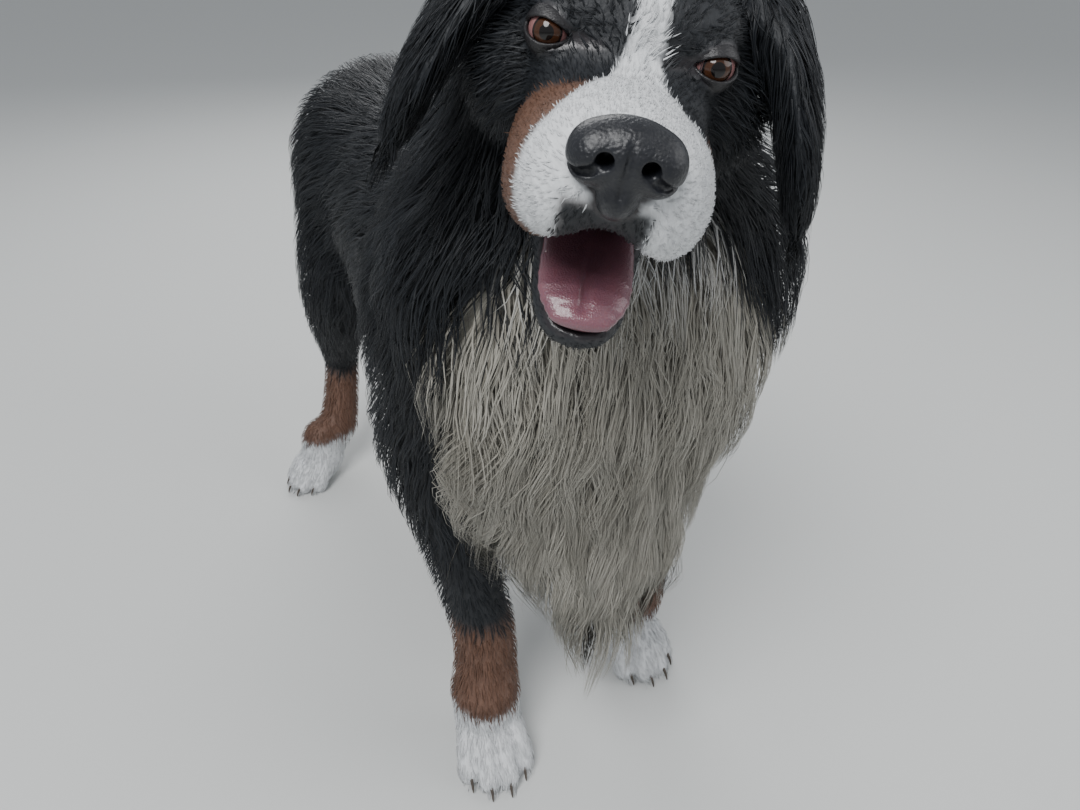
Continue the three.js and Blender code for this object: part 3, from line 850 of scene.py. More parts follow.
def mesh_object(name: str, points: np.ndarray, faces: Sequence[np.ndarray]) -> bpy.types.Object:
    """Makes a mesh object from arrays.

    Args:
        name: The object's name.
        points: One row for each point.
        faces: Arrays of faces, each with one number of corners.

    Returns:
        The object, shaded smooth, at the origin.
    """
    mesh = bpy.data.meshes.new(name)
    mesh.vertices.add(len(points))
    mesh.vertices.foreach_set("co", points.astype(np.float32).ravel())
    corners = np.concatenate([part.ravel() for part in faces]).astype(np.int32)
    totals = np.concatenate([np.full(len(part), part.shape[1], dtype=np.int32) for part in faces])
    mesh.loops.add(len(corners))
    mesh.loops.foreach_set("vertex_index", corners)
    mesh.polygons.add(len(totals))
    mesh.polygons.foreach_set("loop_start", np.concatenate([[0], np.cumsum(totals)[:-1]]).astype(np.int32))
    shade_smooth(mesh)
    mesh.update(calc_edges=True)
    mesh.validate()
    obj = bpy.data.objects.new(name, mesh)
    bpy.context.scene.collection.objects.link(obj)
    return obj


def set_values(obj: bpy.types.Object, name: str, values: np.ndarray) -> None:
    """Stores one number for each point of a mesh.

    Args:
        obj: The mesh object.
        name: The attribute's name.
        values: One number for each point.
    """
    layer = obj.data.attributes.new(name, "FLOAT", "POINT")
    layer.data.foreach_set("value", values.astype(np.float32))


def ramp(values: np.ndarray, low: float, high: float) -> np.ndarray:
    """Gives 0 up to low, 1 from high on, and a smooth rise between, or a fall where low is above high."""
    t = np.clip((values - low) / (high - low), 0, 1)
    return t * t * (3 - 2 * t)


def carved(name: str, shape: Solid, step: float, spare: float, *moves: Matrix) -> bpy.types.Object:
    """Draws a small shape on an even grid and puts it in its place.

    Args:
        name: The object's name.
        shape: The shape, in a frame of its own.
        step: The grid's step, in millimetres.
        spare: How far the grid goes past the shape, in metres.
        moves: The matrices that move it, one after the other.

    Returns:
        The object.
    """
    ends = zip(shape.low - spare, shape.high + spare)
    points, quads = Net(shape, tuple(np.arange(low, high, step * MM) for low, high in ends)).draw()
    for matrix in moves:
        points = moved(points, matrix)
    return mesh_object(name, points, [quads])


def finish_piece(obj: bpy.types.Object, material: bpy.types.Material, slot: str, *nodes: str) -> None:
    """Gives a piece its material, hangs it on the body that it rides on, and hides the parts that it stands
    for.

    Args:
        obj: The piece.
        material: Its material.
        slot: Not used.
        nodes: The nodes that it replaces.
    """
    obj.data.materials.append(material)
    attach(obj, BODY)
    if nodes:
        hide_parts(*nodes)
    LOG.info("%s: %d faces", obj.name, len(obj.data.polygons))


class Lie:
    """The way the hair lies, and which region each spot of the skin belongs to."""

    blur = 0.012  # metres, over which neighbouring lengths share their lie
    ragged = 0.004  # metres, by which the regions' borders stray

    def __init__(self) -> None:
        """Collects the body's lengths and masses with the way that their hair lies."""
        self.parts: list[tuple[Solid, np.ndarray, Region]] = []
        for limb in (TRUNK, NECK, TAIL, CHEST, *BREECHES):
            self.add(limb, Matrix())
        for swell in (WITHERS, RUFF):
            self.add(swell, Matrix())
        for leg in LEGS:
            for limb in leg.limbs():
                self.add(limb, Matrix())
            for limb in paw_limbs():
                self.add(limb, leg.foot())
        for part in (*SKULL, *MUZZLE, *EARS):
            self.add(part, HEAD)
        self.add(CHIN, HEAD @ JAW)

    def add(self, part: Limb | Swell, matrix: Matrix) -> None:
        """Adds a limb's lengths, whose hair lies from first station to last, or a mass with its own lie.

        Args:
            part: The limb or mass.
            matrix: What places it in the part's frame.
        """
        turn = np.array(matrix.to_3x3())
        solids = part.tapers(0, fine=False) if isinstance(part, Limb) else [part.solid(0)]
        for solid in solids:
            way = turn @ (solid.way if isinstance(part, Limb) else np.array(part.lie, dtype=float))
            placed = Placed(solid, matrix) if matrix != Matrix() else solid
            self.parts.append((placed, way / np.linalg.norm(way), part.region))

    def at(self, points: np.ndarray, noise: np.random.Generator) -> tuple[np.ndarray, np.ndarray]:
        """Gives the lie and the region at each point.

        Args:
            points: Points on the skin.
            noise: What makes the regions' borders ragged.

        Returns:
            Unit rows of the lie, and the numbers of the regions.
        """
        depths = np.stack([solid.at(points) for solid, _, _ in self.parts])
        ways = np.stack([way for _, way, _ in self.parts])
        weights = np.exp(-(depths - depths.min(axis=0)) / self.blur)
        lie = unit(weights.T @ ways)
        regions = np.array([region.value for _, _, region in self.parts])
        return lie, regions[np.argmin(depths + noise.normal(0, self.ragged, depths.shape), axis=0)]


@dataclass(frozen=True)
class Hair:
    """The hair of one region, in millimetres, with its density in tufts to a square centimetre."""

    length: float
    width: float
    density: float
    rise: float  # the share of the coat's depth that its tips reach
    wave: float
    droop: float
    clump: float
    rings: int
    lock: int = 9  # tufts to a lock
    loose: float = 0.25  # how unevenly its tips stand out
    cling: float = 0.35  # how far the skin may turn away before a tuft hangs free of it


PER_SQUARE_METRE = 1e4  # square centimetres
CURLS = (-55, -110)  # millimetres to the dog's left: from here to there the chest's hair comes to curl more
UNDERSIDE = (0.25, 0.7)  # the downward slopes between which the chest hair grows short

HAIR = {
    Region.MUZZLE: Hair(6.5, 0.8, 13.0, 0.5, 0.1, 0.0, 0.1, 2),
    Region.SKULL: Hair(10, 1.0, 11.0, 0.45, 0.3, 0.0, 0.2, 3),
    Region.CHEEK: Hair(24, 1.2, 9.0, 0.9, 1.2, 0.2, 0.35, 4),
    Region.EAR: Hair(44, 1.4, 7.2, 0.9, 2.4, 0.3, 0.4, 5),
    Region.NECK: Hair(88, 1.8, 3.7, 0.95, 6.0, 0.45, 0.62, 5, 14),
    Region.CHEST: Hair(112, 1.1, 8.6, 1.0, 7.0, 0.5, 0.8, 6, 34, cling=0.1),
    Region.TRUNK: Hair(78, 2.2, 2.0, 0.9, 4.0, 0.45, 0.55, 5, 12),
    Region.THIGH: Hair(54, 2.1, 2.1, 0.9, 3.0, 0.3, 0.45, 5, 10),
    Region.SHANK: Hair(17, 1.5, 3.7, 0.9, 0.6, 0.1, 0.25, 3),
    Region.PAW: Hair(13, 1.2, 5.6, 0.9, 0.4, 0.1, 0.3, 3),
    Region.TAIL: Hair(108, 1.9, 4.2, 1.0, 6.0, 0.5, 0.62, 6, 18),
    Region.BREECH: Hair(88, 1.9, 3.4, 1.0, 5.0, 0.5, 0.6, 5, 16),
}


# The markings' borders in millimetres, as pairs of a place and how far the border is there.
# Those of the face are in the head's frame, those of the body in the stance.
BLAZE_HALF = ((-70, 40), (-42, 30), (-22, 17), (0, 8.5), (40, 7.5), (90, 5), (118, 0))
BLAZE_MIDDLE = ((-70, 0), (-30, 6))
LEFT_LOBE_BACK = -38
RIGHT_LOBE_BACK = ((-80, -82), (-50, -77), (-20, -62))
CHEEK_TOP = ((-60, -13), (-29, -17), (-3, -38), (48, -74), (90, -104))
BROW_AT = (31, 40)
CHEST_MIDDLE = 6
CHEST_HALF = ((560, 190), (600, 132), (640, 84), (690, 50))
CHEST_BEHIND = ((300, 75), (430, 60), (470, 0))
# Heights between which a marking ends
PAW_TOP = (84, 70)
LEG_TOP = (196, 168)
TAIL_TIP_TOP = (262, 240)


def border(places: np.ndarray, pairs: Sequence[tuple[float, float]]) -> np.ndarray:
    """Reads a border, given as pairs of a place and how far it is there, at each place."""
    return np.interp(places, *zip(*pairs))


class Markings:
    """Where the coat is white, rust or black."""

    edge = 2.0  # millimetres that the face's borders stray
    body_edge = 9  # millimetres that the chest's border strays
    tuft_edge = 7  # millimetres that the heights of the socks and the tail's tip stray

    def __init__(self) -> None:
        """Keeps the chest's shape, which the white of the chest follows."""
        self.chest = CHEST.solid(0)

    def at(self, points: np.ndarray, ragged: np.ndarray) -> tuple[np.ndarray, np.ndarray]:
        """Gives how white and how rust each point is.

        Args:
            points: Points on the skin or the coat, in the part's frame.
            ragged: A number of about -1 to 1 for each, which moves the borders back and forth.

        Returns:
            The white and the rust, from 0 to 1.
        """
        head = moved(points, HEAD.inverted()) / MM
        plain = (points - np.array(SHIFT)) / MM
        face_white, face_rust = self.face(head, ragged)
        body_white, body_rust = self.body(points, plain, ragged)
        on_head = ramp(plain[:, 2], 640, 660) * ramp(head[:, 1], 128, 120)
        white = face_white * on_head + np.maximum(body_white, 0) * (1 - on_head * face_white)
        rust = np.where(on_head > 0.5, face_rust, body_rust)
        return np.clip(white, 0, 1), np.clip(rust * (1 - white), 0, 1)

    def face(self, head: np.ndarray, ragged: np.ndarray) -> tuple[np.ndarray, np.ndarray]:
        """Gives the white and rust of the face: blaze, muzzle, cheeks and brows.

        Args:
            head: Points in the head's frame, in millimetres.
            ragged: What moves the borders.

        Returns:
            The white and the rust.
        """
        x, y, z = head.T
        edge = ragged * self.edge
        half = border(y, BLAZE_HALF)
        blaze = ramp(half + edge - np.abs(x - border(y, BLAZE_MIDDLE)), -1.5, 1.5) * ramp(z, -34, -26)
        behind = np.where(x > 0, LEFT_LOBE_BACK, border(z, RIGHT_LOBE_BACK))
        lobe = ramp(y - edge * 1.5, behind + 6, behind - 6) * ramp(z + edge, -92, -84)
        # Black under the nose: partly the dark upper lip, partly painted shadow cast by the nose.
        lip_and_shadow_under_nose = ramp(np.abs(x + 3) + edge, 26, 19) * ramp(z, -50, -58)
        white = np.maximum(blaze, lobe) * (1 - lip_and_shadow_under_nose)
        top = border(y, CHEEK_TOP)
        flank = ramp(np.abs(x) + edge, 94, 86) * ramp(y + edge * 2, 96, 84)
        right = ramp(z + edge * 1.5 - top, 4, -4) * ramp(z + edge, -152, -140) * ramp(x, 0, -12) * flank
        left = ramp(y, -44, -38) * ramp(y, -4, -16) * ramp(z, -30, -40) * ramp(x, 0, 12)
        across, back = BROW_AT
        far = [np.hypot(x - across * s, (y - back) * 0.8) for s in SIDES.values()]
        brows = [ramp(reach + edge, 12, 8) * ramp(z, 0, 8) for reach in far]
        jaw = ramp(y, 44, 34) * ramp(z, -84, -92)
        rust = np.maximum.reduce([right, left * 0.8, *brows]) * (1 - lip_and_shadow_under_nose) * (1 - jaw)
        return white, rust

    def cream(self, points: np.ndarray) -> np.ndarray:
        """Gives how creamy the white is, and so how far painted shade darkens it: the chest is, the face and
        paws aren't.
        """
        _, y, z = ((points - np.array(SHIFT)) / MM).T
        return ramp(z, 715, 640) * ramp(z, 150, 220) * ramp(y, 240, 180)

    def body(
        self, points: np.ndarray, plain: np.ndarray, ragged: np.ndarray
    ) -> tuple[np.ndarray, np.ndarray]:
        """Gives the white and rust of the body: chest, paws, legs and the tail's tip.

        Args:
            points: Points in the part's frame.
            plain: The same in the stance, in millimetres.
            ragged: What moves the borders.

        Returns:
            The white and the rust.
        """
        x, y, z = plain.T
        aside = np.abs(x - CHEST_MIDDLE)
        half = border(z, CHEST_HALF) + ragged * self.body_edge
        narrow = ramp(half - aside, -6, 6)
        behind = border(z, CHEST_BEHIND) * ramp(aside, 78, 58)
        near = self.chest.at(points) / MM - ragged * self.body_edge - behind
        chest = ramp(near, 12, 0) * ramp(y, 150, 110) * narrow
        tall = z - ragged * self.tuft_edge
        paws = ramp(tall, *PAW_TOP)
        legs = ramp(tall, *LEG_TOP) * ramp(y, 900, 800)
        tip = ramp(tall, *TAIL_TIP_TOP) * ramp(y, 790, 800) * ramp(z, 190, 200)
        return np.maximum.reduce([chest, paws, tip]), legs


@dataclass
class Roots:
    """Where tufts grow: places, slopes, lie, region and place on the skin's unwrap."""

    places: np.ndarray
    normals: np.ndarray
    lie: np.ndarray
    region: np.ndarray
    spots: np.ndarray

    def chosen(self, rows: np.ndarray) -> "Roots":
        """Gives only the roots of some rows."""
        return Roots(*(getattr(self, part.name)[rows] for part in fields(self)))


def tuft_profile(t: np.ndarray) -> np.ndarray:
    """Gives a tuft's width along it: fullest below its middle, then thinning to the tip."""
    return (0.62 + 0.5 * np.sin(math.pi * np.minimum(t * 1.25 + 0.1, 1))) * (1 - t**1.6 * 0.62)


def unit_rows(vectors: np.ndarray) -> np.ndarray:
    """Scales the vectors of an array of any shape to a length of one."""
    return unit(vectors.reshape(-1, 3)).reshape(vectors.shape)


@dataclass
class Coat:
    """The tufts of the coat, grown from the skin out to the coat's tips."""

    skin: Solid
    outer: Solid
    patch: float = 0.003  # a tuft's size on the unwrap
    most: int = 190_000  # triangles in a piece
    sole: float = 4.5  # millimetres over the floor that stay bare
    sunk: float = 0.8  # millimetres that a root lies in the skin
    clear: float = 0.6  # millimetres that every tuft keeps over the floor
    lengths: tuple[float, float] = (0.72, 1.18)  # how the tufts' lengths vary
    widths: tuple[float, float] = (0.65, 1.25)  # how their widths vary
    sway: float = 0.16  # how far they stray from the lie
    freeing: float = 0.45  # how much further the skin turns away until a tuft is wholly free
    layer: tuple[float, float] = (0.0015, 0.05)  # metres, the coat's least and greatest depth
    lift: float = 0.28  # a tuft's height at its root, as a share of where its tip will be
    gain: float = 0.9  # and what is added to it on the way to the tip
    pull: float = 0.03  # metres that a ring is moved to its height, at most
    bend: float = 0.35  # the share of the droop that each ring adds
    short_below: float = 0.7  # the share of its length that the chest's hair lacks underneath
    lock_reach: float = 0.025  # metres from a lock's leader to its tufts, at most
    curl_gain: float = 1.3  # how much more the curliest chest hair waves
    roll: float = 0.3  # radians that a tuft is rolled
    section: tuple[tuple[float, float], ...] = ((-1, -0.16), (1, -0.16), (0, 0.34))  # in half widths
    softness: float = 0.5  # the share of the skin's slope in a tuft's shading at its root
    fading: float = 0.7  # how much of that share is gone at the tip
    rng: np.random.Generator = field(default_factory=lambda: np.random.default_rng(SEED))

    def bare(self, points: np.ndarray) -> np.ndarray:
        """Says which points carry no hair: soles, nose, lips, mouth and lids."""
        return (points[:, 2] < self.sole * MM) | (bare_depth(points) < 0)

    def triangles(self, mesh: bpy.types.Mesh) -> tuple[np.ndarray, np.ndarray]:
        """Gives the corners of a mesh's triangles, in space and on the unwrap."""
        mesh.calc_loop_triangles()
        count = len(mesh.loop_triangles)
        corners = np.empty(count * 3, dtype=np.int32)
        loops = np.empty(count * 3, dtype=np.int32)
        mesh.loop_triangles.foreach_get("vertices", corners)
        mesh.loop_triangles.foreach_get("loops", loops)
        points = np.empty(len(mesh.vertices) * 3, dtype=np.float32)
        mesh.vertices.foreach_get("co", points)
        spots = np.empty(len(mesh.loops) * 2, dtype=np.float32)
        mesh.uv_layers[UNWRAP].data.foreach_get("uv", spots)
        places = points.reshape(-1, 3)[corners.reshape(-1, 3)].astype(float)
        return places, spots.reshape(-1, 2)[loops.reshape(-1, 3)]

    def sow(self, skin: bpy.types.Object) -> Roots:
        """Spreads roots over the skin, as densely as each region's hair grows.

        Args:
            skin: The skin, with its unwrap.

        Returns:
            The roots.
        """
        triangles, maps = self.triangles(skin.data)
        middles = triangles.mean(axis=1)
        across = np.cross(triangles[:, 1] - triangles[:, 0], triangles[:, 2] - triangles[:, 0])
        area = np.linalg.norm(across, axis=1) / 2
        lie = Lie()
        _, region = lie.at(middles, self.rng)
        density = np.array([HAIR[kind].density for kind in Region])[region] * PER_SQUARE_METRE
        weight = area * density * ~self.bare(middles)
        edges = np.cumsum(weight)
        total = int(edges[-1])
        picks = np.searchsorted(edges, (np.arange(total) + self.rng.random(total)) / total * edges[-1])
        picks = np.minimum(picks, len(triangles) - 1)
        shares = self.rng.random((total, 2))
        flip = shares.sum(axis=1) > 1
        shares[flip] = 1 - shares[flip]
        shares = np.column_stack([1 - shares.sum(axis=1), shares])[:, :, None]
        places = (triangles[picks] * shares).sum(axis=1)
        ways, region = lie.at(places, self.rng)
        return Roots(places, self.skin.slope(places), ways, region, (maps[picks] * shares).sum(axis=1))

    def grow(self, roots: Roots, hair: Hair) -> tuple[np.ndarray, np.ndarray]:
        """Grows each tuft's middle line over the skin, or free of it where the skin turns away underneath.

        Args:
            roots: The roots.
            hair: Their hair.

        Returns:
            The lines, one row of rings + 1 points for each tuft, and the skin's slope at each point.
        """
        count, rings = len(roots.places), hair.rings
        length = hair.length * MM * self.rng.uniform(*self.lengths, count)
        rise = hair.rise * (1 - hair.loose * self.rng.random(count) ** 1.5)
        droop = hair.droop * np.array([0, 0, -1.0])
        if hair is HAIR[Region.CHEST]:
            length *= 1 - self.short_below * ramp(-roots.normals[:, 2], *UNDERSIDE)
        sway = self.rng.normal(0, self.sway, (count, 3))
        point = roots.places - roots.normals * self.sunk * MM
        line = [point]
        normal = roots.normals
        slopes = [normal]
        way = unit(roots.lie + droop + sway)
        for ring in range(1, rings + 1):
            off = np.einsum("ij,ij->i", way, normal)
            held = 1 - ramp(off, hair.cling, hair.cling + self.freeing)
            flat = way - (off * held)[:, None] * normal
            point = point + unit(flat) * (length / rings)[:, None]
            skin, outer = self.skin.at(point), self.outer.at(point)
            want = np.clip(skin - outer, *self.layer) * rise * min(1, self.lift + self.gain * (ring / rings))
            normal = self.skin.slope(point) if ring < rings else normal
            point = point + normal * (np.clip(want - skin, -self.pull, self.pull) * held)[:, None]
            line.append(point)
            slopes.append(normal)
            way = unit(unit(point - line[-2]) + droop * self.bend)
        return np.stack(line, axis=1), np.stack(slopes, axis=1)

    def leaders(self, roots: Roots, lock: int) -> np.ndarray:
        """Chooses some tufts to lead locks, and gives the number of each tuft's leader.

        Args:
            roots: The roots.
            lock: How many tufts a lock has.

        Returns:
            The leaders, which are the tufts themselves where no leader is near.
        """
        count = len(roots.places)
        heads = self.rng.permutation(count)[: max(1, count // lock)]
        tree = kdtree.KDTree(len(heads))
        for number, head in enumerate(heads):
            tree.insert(roots.places[head], number)
        tree.balance()
        lead = np.array([heads[tree.find(place)[1]] for place in roots.places])
        near = np.linalg.norm(roots.places - roots.places[lead], axis=1) < self.lock_reach
        return np.where(near, lead, np.arange(count))

    def gather(self, lines: np.ndarray, roots: Roots, hair: Hair) -> tuple[np.ndarray, np.ndarray]:
        """Draws tufts together into wavy locks that end in a point.

        Args:
            lines: The tufts' middle lines.
            roots: The roots.
            hair: Their hair.

        Returns:
            The new lines, and a tint for each tuft that is much the same in a lock.
        """
        count, rings = lines.shape[:2]
        lead = self.leaders(roots, hair.lock)
        t = np.linspace(0, 1, rings)
        clump = hair.clump * self.rng.uniform(0.6, 1.3, count)
        pull = np.clip(clump, 0, 0.92)[:, None] * t[None] ** 1.3
        lines = lines + (lines[lead] - lines) * pull[:, :, None]
        phase = self.rng.uniform(0, 2 * math.pi, count)[lead] + self.rng.normal(0, 0.3, count)
        turns = self.rng.uniform(0.5, 1.1, count)[lead]
        wave = hair.wave * MM * self.rng.uniform(0.4, 1.3, count)[lead]
        if hair is HAIR[Region.CHEST]:
            wave *= 1 + self.curl_gain * ramp((roots.places[:, 0] - SHIFT[0]) / MM, *CURLS)
        along = unit(lines[:, -1] - lines[:, 0])
        aside = unit(np.cross(along, roots.normals))
        turned = 2 * math.pi * turns[:, None] * t + phase[:, None]
        swing = np.sin(turned) - np.sin(phase)[:, None]
        bow = np.cos(turned) - np.cos(phase)[:, None]
        lines = lines + aside[:, None] * (swing * wave[:, None])[:, :, None]
        lines = lines + roots.normals[:, None] * (bow * wave[:, None] * 0.25)[:, :, None]
        tint = self.rng.random(count)[lead] * 0.7 + self.rng.random(count) * 0.3
        return lines, tint

    def sections(
        self, lines: np.ndarray, under: np.ndarray, roots: Roots, hair: Hair
    ) -> tuple[np.ndarray, np.ndarray]:
        """Sets a three-cornered section on each ring, and softens the shading with the skin's slope.

        Args:
            lines: The tufts' middle lines.
            under: The skin's slope at each of their points.
            roots: The roots.
            hair: Their hair.

        Returns:
            The points of each tuft, three to a ring and one at the tip, and their shading's slopes.
        """
        count, rings = lines.shape[0], lines.shape[1] - 1
        t = np.arange(rings) / rings
        width = hair.width * MM * self.rng.uniform(*self.widths, count)
        half = width[:, None] * tuft_profile(t)[None] / 2
        ahead = unit_rows(np.diff(lines, axis=1))
        facing = under[:, :rings] + roots.normals[:, None] * 0.6 + np.array([0.05, -0.12, 0])
        aside = unit_rows(np.cross(ahead, facing))
        above = np.cross(aside, ahead)
        roll = self.rng.normal(0, self.roll, count)[:, None]
        points = np.empty((count, rings * 3 + 1, 3))
        slopes = np.empty_like(points)
        points[:, -1] = lines[:, -1]
        slopes[:, -1] = ahead[:, -1] + above[:, -1]
        for corner, (across, height) in enumerate(self.section):
            u = across * np.cos(roll) - height * np.sin(roll)
            v = across * np.sin(roll) + height * np.cos(roll)
            shift = aside * (u * half)[:, :, None] + above * (v * half)[:, :, None]
            points[:, corner:rings * 3:3] = lines[:, :rings] + shift
            outwards = unit_rows(aside * u[:, :, None] + above * (v + 0.5)[:, :, None])
            agree = ramp(np.sum(outwards * under[:, :rings], axis=2), -0.7, 0.3)
            share = (self.softness * agree * (1 - t * self.fading))[:, :, None]
            slopes[:, corner:rings * 3:3] = outwards * (1 - share) + under[:, :rings] * share
        return points, unit_rows(slopes)

    def faces(self, count: int, rings: int) -> list[np.ndarray]:
        """Makes the faces of tufts: quads between rings, and threes at the tip and the root.

        Args:
            count: How many tufts there are.
            rings: How many rings each has.

        Returns:
            The quads and the threes, facing out.
        """
        sides = ((0, 1), (1, 2), (2, 0))
        firsts = range(0, 3 * (rings - 1), 3)
        quads = [[k + b, k + a, k + 3 + a, k + 3 + b] for k in firsts for a, b in sides]
        last = 3 * (rings - 1)
        threes = [[last + b, last + a, rings * 3] for a, b in sides] + [[0, 1, 2]]
        starts = (np.arange(count) * (rings * 3 + 1))[:, None, None]
        return [(np.array(part)[None] + starts).reshape(-1, len(part[0])) for part in (quads, threes)]

    def blades(
        self, name: str, sections: tuple[np.ndarray, np.ndarray], roots: Roots, values: dict[str, np.ndarray]
    ) -> bpy.types.Object:
        """Makes one mesh of tapered three-sided blades.

        Args:
            name: The piece's name.
            sections: The points of each tuft and their shading's slopes.
            roots: The roots.
            values: The numbers to store, one for each tuft under each name.

        Returns:
            The piece.
        """
        points, slopes = sections
        count, step = points.shape[:2]
        rings = step // 3
        piece = mesh_object(name, points.reshape(-1, 3), self.faces(count, rings))
        along = np.append(np.repeat(np.arange(rings) / rings, 3), 1.0)
        across = np.append(np.tile((-1.0, 1.0, 0.0), rings), 0.0)
        set_values(piece, "along", np.tile(along, count))
        set_values(piece, "across", np.tile(across, count))
        for key, numbers in values.items():
            set_values(piece, key, np.repeat(numbers, step))
        offset = np.stack([across, along * 2 - 1], axis=1) * self.patch / 2
        spots = (roots.spots[:, None] + offset[None]).reshape(-1, 2)
        corners = np.empty(len(piece.data.loops), dtype=np.int32)
        piece.data.loops.foreach_get("vertex_index", corners)
        layer = piece.data.uv_layers.new(name=UNWRAP)
        layer.data.foreach_set("uv", spots[corners].astype(np.float32).ravel())
        piece.data.normals_split_custom_set_from_vertices(slopes.reshape(-1, 3).astype(np.float32))
        return piece

    def colours(self, roots: Roots, kind: Region, markings: Markings) -> dict[str, np.ndarray]:
        """Gives each tuft its white, rust and cream with painted shade, nearly all or nothing of the first
        two.

        Args:
            roots: The roots.
            kind: Their region.
            markings: Where the coat is white, rust or black.

        Returns:
            The numbers, by name.
        """
        count = len(roots.places)
        white, rust = markings.at(roots.places, self.rng.uniform(-1, 1, count))
        if kind == Region.CHEST:
            white, rust = np.maximum(white, 0.9), rust * 0
        values = {
            name: np.where(mark > self.rng.uniform(0.3, 0.7, count), 1.0, mark * 0.35)
            for name, mark in (("white", white), ("rust", rust))
        }
        return values | {"cream": markings.cream(roots.places)}

    def build(self, skin: bpy.types.Object, markings: Markings) -> list[bpy.types.Object]:
        """Grows the whole coat.

        Args:
            skin: The skin.
            markings: Where the coat is white, rust or black.

        Returns:
            The pieces of the coat.
        """
        roots = self.sow(skin)
        pieces = []
        for kind in Region:
            hair = HAIR[kind]
            rows = np.flatnonzero(roots.region == kind.value)
            split_along = 1 if kind == Region.TRUNK else 0
            rows = rows[np.argsort(roots.places[rows, split_along])]
            most = self.most // (6 * hair.rings - 2)
            parts = np.array_split(rows, max(1, math.ceil(len(rows) / most)))
            for number, part in enumerate(parts, start=1):
                own = roots.chosen(part)
                lines, under = self.grow(own, hair)
                lines, tint = self.gather(lines, own, hair)
                lines[:, :, 2] = np.maximum(lines[:, :, 2], self.clear * MM)
                values = {"tint": tint} | self.colours(own, kind, markings)
                name = "coat_" + kind.name.lower() + (f"_{number}" if len(parts) > 1 else "")
                pieces.append(self.blades(name, self.sections(lines, under, own, hair), own, values))
        return pieces


class Paint:
    """A material whose nodes are being laid out and joined."""

    def __init__(self, name: str) -> None:
        """Starts a material with a plain shader."""
        self.material = bpy.data.materials.new(name)
        self.material.use_nodes = True
        self.tree = self.material.node_tree
        self.shader = self.tree.nodes["Principled BSDF"]

    def set(self, **values: float | tuple[float, ...]) -> None:
        """Sets the shader's own sockets, named with underscores for blanks."""
        for name, value in values.items():
            self.shader.inputs[name.replace("_", " ")].default_value = value

    def add(self, kind: str, inputs: dict | None = None, **settings: object) -> bpy.types.Node:
        """Adds a node.

        Args:
            kind: The node's type, without its ShaderNode.
            inputs: Its sockets' values, or the sockets that feed them, by name or number.
            settings: Its properties.

        Returns:
            The node.
        """
        node = self.tree.nodes.new("ShaderNode" + kind)
        for name, value in settings.items():
            setattr(node, name, value)
        for name, value in (inputs or {}).items():
            if isinstance(value, bpy.types.NodeSocket):
                self.tree.links.new(value, node.inputs[name])
            else:
                node.inputs[name].default_value = value
        return node

    def value(self, name: str) -> bpy.types.NodeSocket:
        """Gives the socket of a stored number of the mesh."""
        return self.add("Attribute", attribute_name=name).outputs["Fac"]

    def math(
        self, operation: str, a: object, b: object = 0.0, c: object = None, clamp: bool = False
    ) -> bpy.types.NodeSocket:
        """Joins two or three numbers or sockets by an operation and gives the result's socket."""
        values = {0: a, 1: b} if c is None else {0: a, 1: b, 2: c}
        return self.add("Math", values, operation=operation, use_clamp=clamp).outputs[0]

    def mix(self, share: object, a: object, b: object) -> bpy.types.NodeSocket:
        """Mixes two colours or their sockets and gives the result's socket."""
        node = self.add("Mix", data_type="RGBA")
        for index, value in ((0, share), (6, a), (7, b)):
            if isinstance(value, bpy.types.NodeSocket):
                self.tree.links.new(value, node.inputs[index])
            else:
                node.inputs[index].default_value = value
        return node.outputs[2]

    def noise(self, place: bpy.types.NodeSocket, scale: float, detail: float = 2.0) -> bpy.types.NodeSocket:
        """Adds a noise at a place and gives its socket."""
        return self.add("TexNoise", {"Vector": place, "Scale": scale, "Detail": detail}).outputs["Fac"]

    def place(self, size: tuple[float, float, float] = (1, 1, 1)) -> bpy.types.NodeSocket:
        """Gives the place on the piece, stretched by a mapping."""
        where = self.add("TexCoord").outputs["Object"]
        return self.add("Mapping", {"Vector": where, "Scale": size}).outputs["Vector"]

    def link(self, socket: bpy.types.NodeSocket, name: str) -> None:
        """Feeds one of the shader's sockets."""
        self.tree.links.new(socket, self.shader.inputs[name])

    def bump(self, height: bpy.types.NodeSocket, depth: float, strength: float = 1.0) -> None:
        """Feeds the shader's normal with a relief of a depth in metres."""
        node = self.add("Bump", {"Height": height, "Distance": depth, "Strength": strength})
        self.link(node.outputs["Normal"], "Normal")


@dataclass(frozen=True)
class Coats:
    """The colours that skin and coat share: most come in pairs, from a deep colour with painted shade, as at
    a tuft's root, to a light one.
    """

    # The slight blue in both blacks is a painted tint of the bluish sky's sheen on the hair.
    black: tuple[float, ...] = (0.0052, 0.0066, 0.0088, 1)
    black_tip: tuple[float, ...] = (0.0135, 0.0160, 0.0200, 1)
    white: tuple[float, ...] = (0.80, 0.82, 0.84, 1)
    white_deep: tuple[float, ...] = (0.52, 0.53, 0.54, 1)
    # The chest's cream: a warmer white, darkened by painted shade.
    cream: tuple[float, ...] = (0.50, 0.48, 0.425, 1)
    cream_and_shade_deep: tuple[float, ...] = (0.20, 0.185, 0.15, 1)
    rust: tuple[float, ...] = (0.175, 0.092, 0.060, 1)
    rust_deep: tuple[float, ...] = (0.075, 0.036, 0.023, 1)
    lip: tuple[float, ...] = (0.010, 0.009, 0.011, 1)

    def colour(self, paint: Paint, lit: bpy.types.NodeSocket) -> bpy.types.NodeSocket:
        """Mixes the coat's colour.

        Args:
            paint: The material.
            lit: How far the colour goes from the deep colour, with its painted shade, to the light one.

        Returns:
            The colour's socket.
        """
        black = paint.mix(lit, self.black, self.black_tip)
        white = paint.mix(lit, self.white_deep, self.white)
        cream = paint.mix(lit, self.cream_and_shade_deep, self.cream)
        rust = paint.mix(lit, self.rust_deep, self.rust)
        dark = paint.mix(paint.value("rust"), black, rust)
        return paint.mix(paint.value("white"), dark, paint.mix(paint.value("cream"), white, cream))


COATS = Coats()


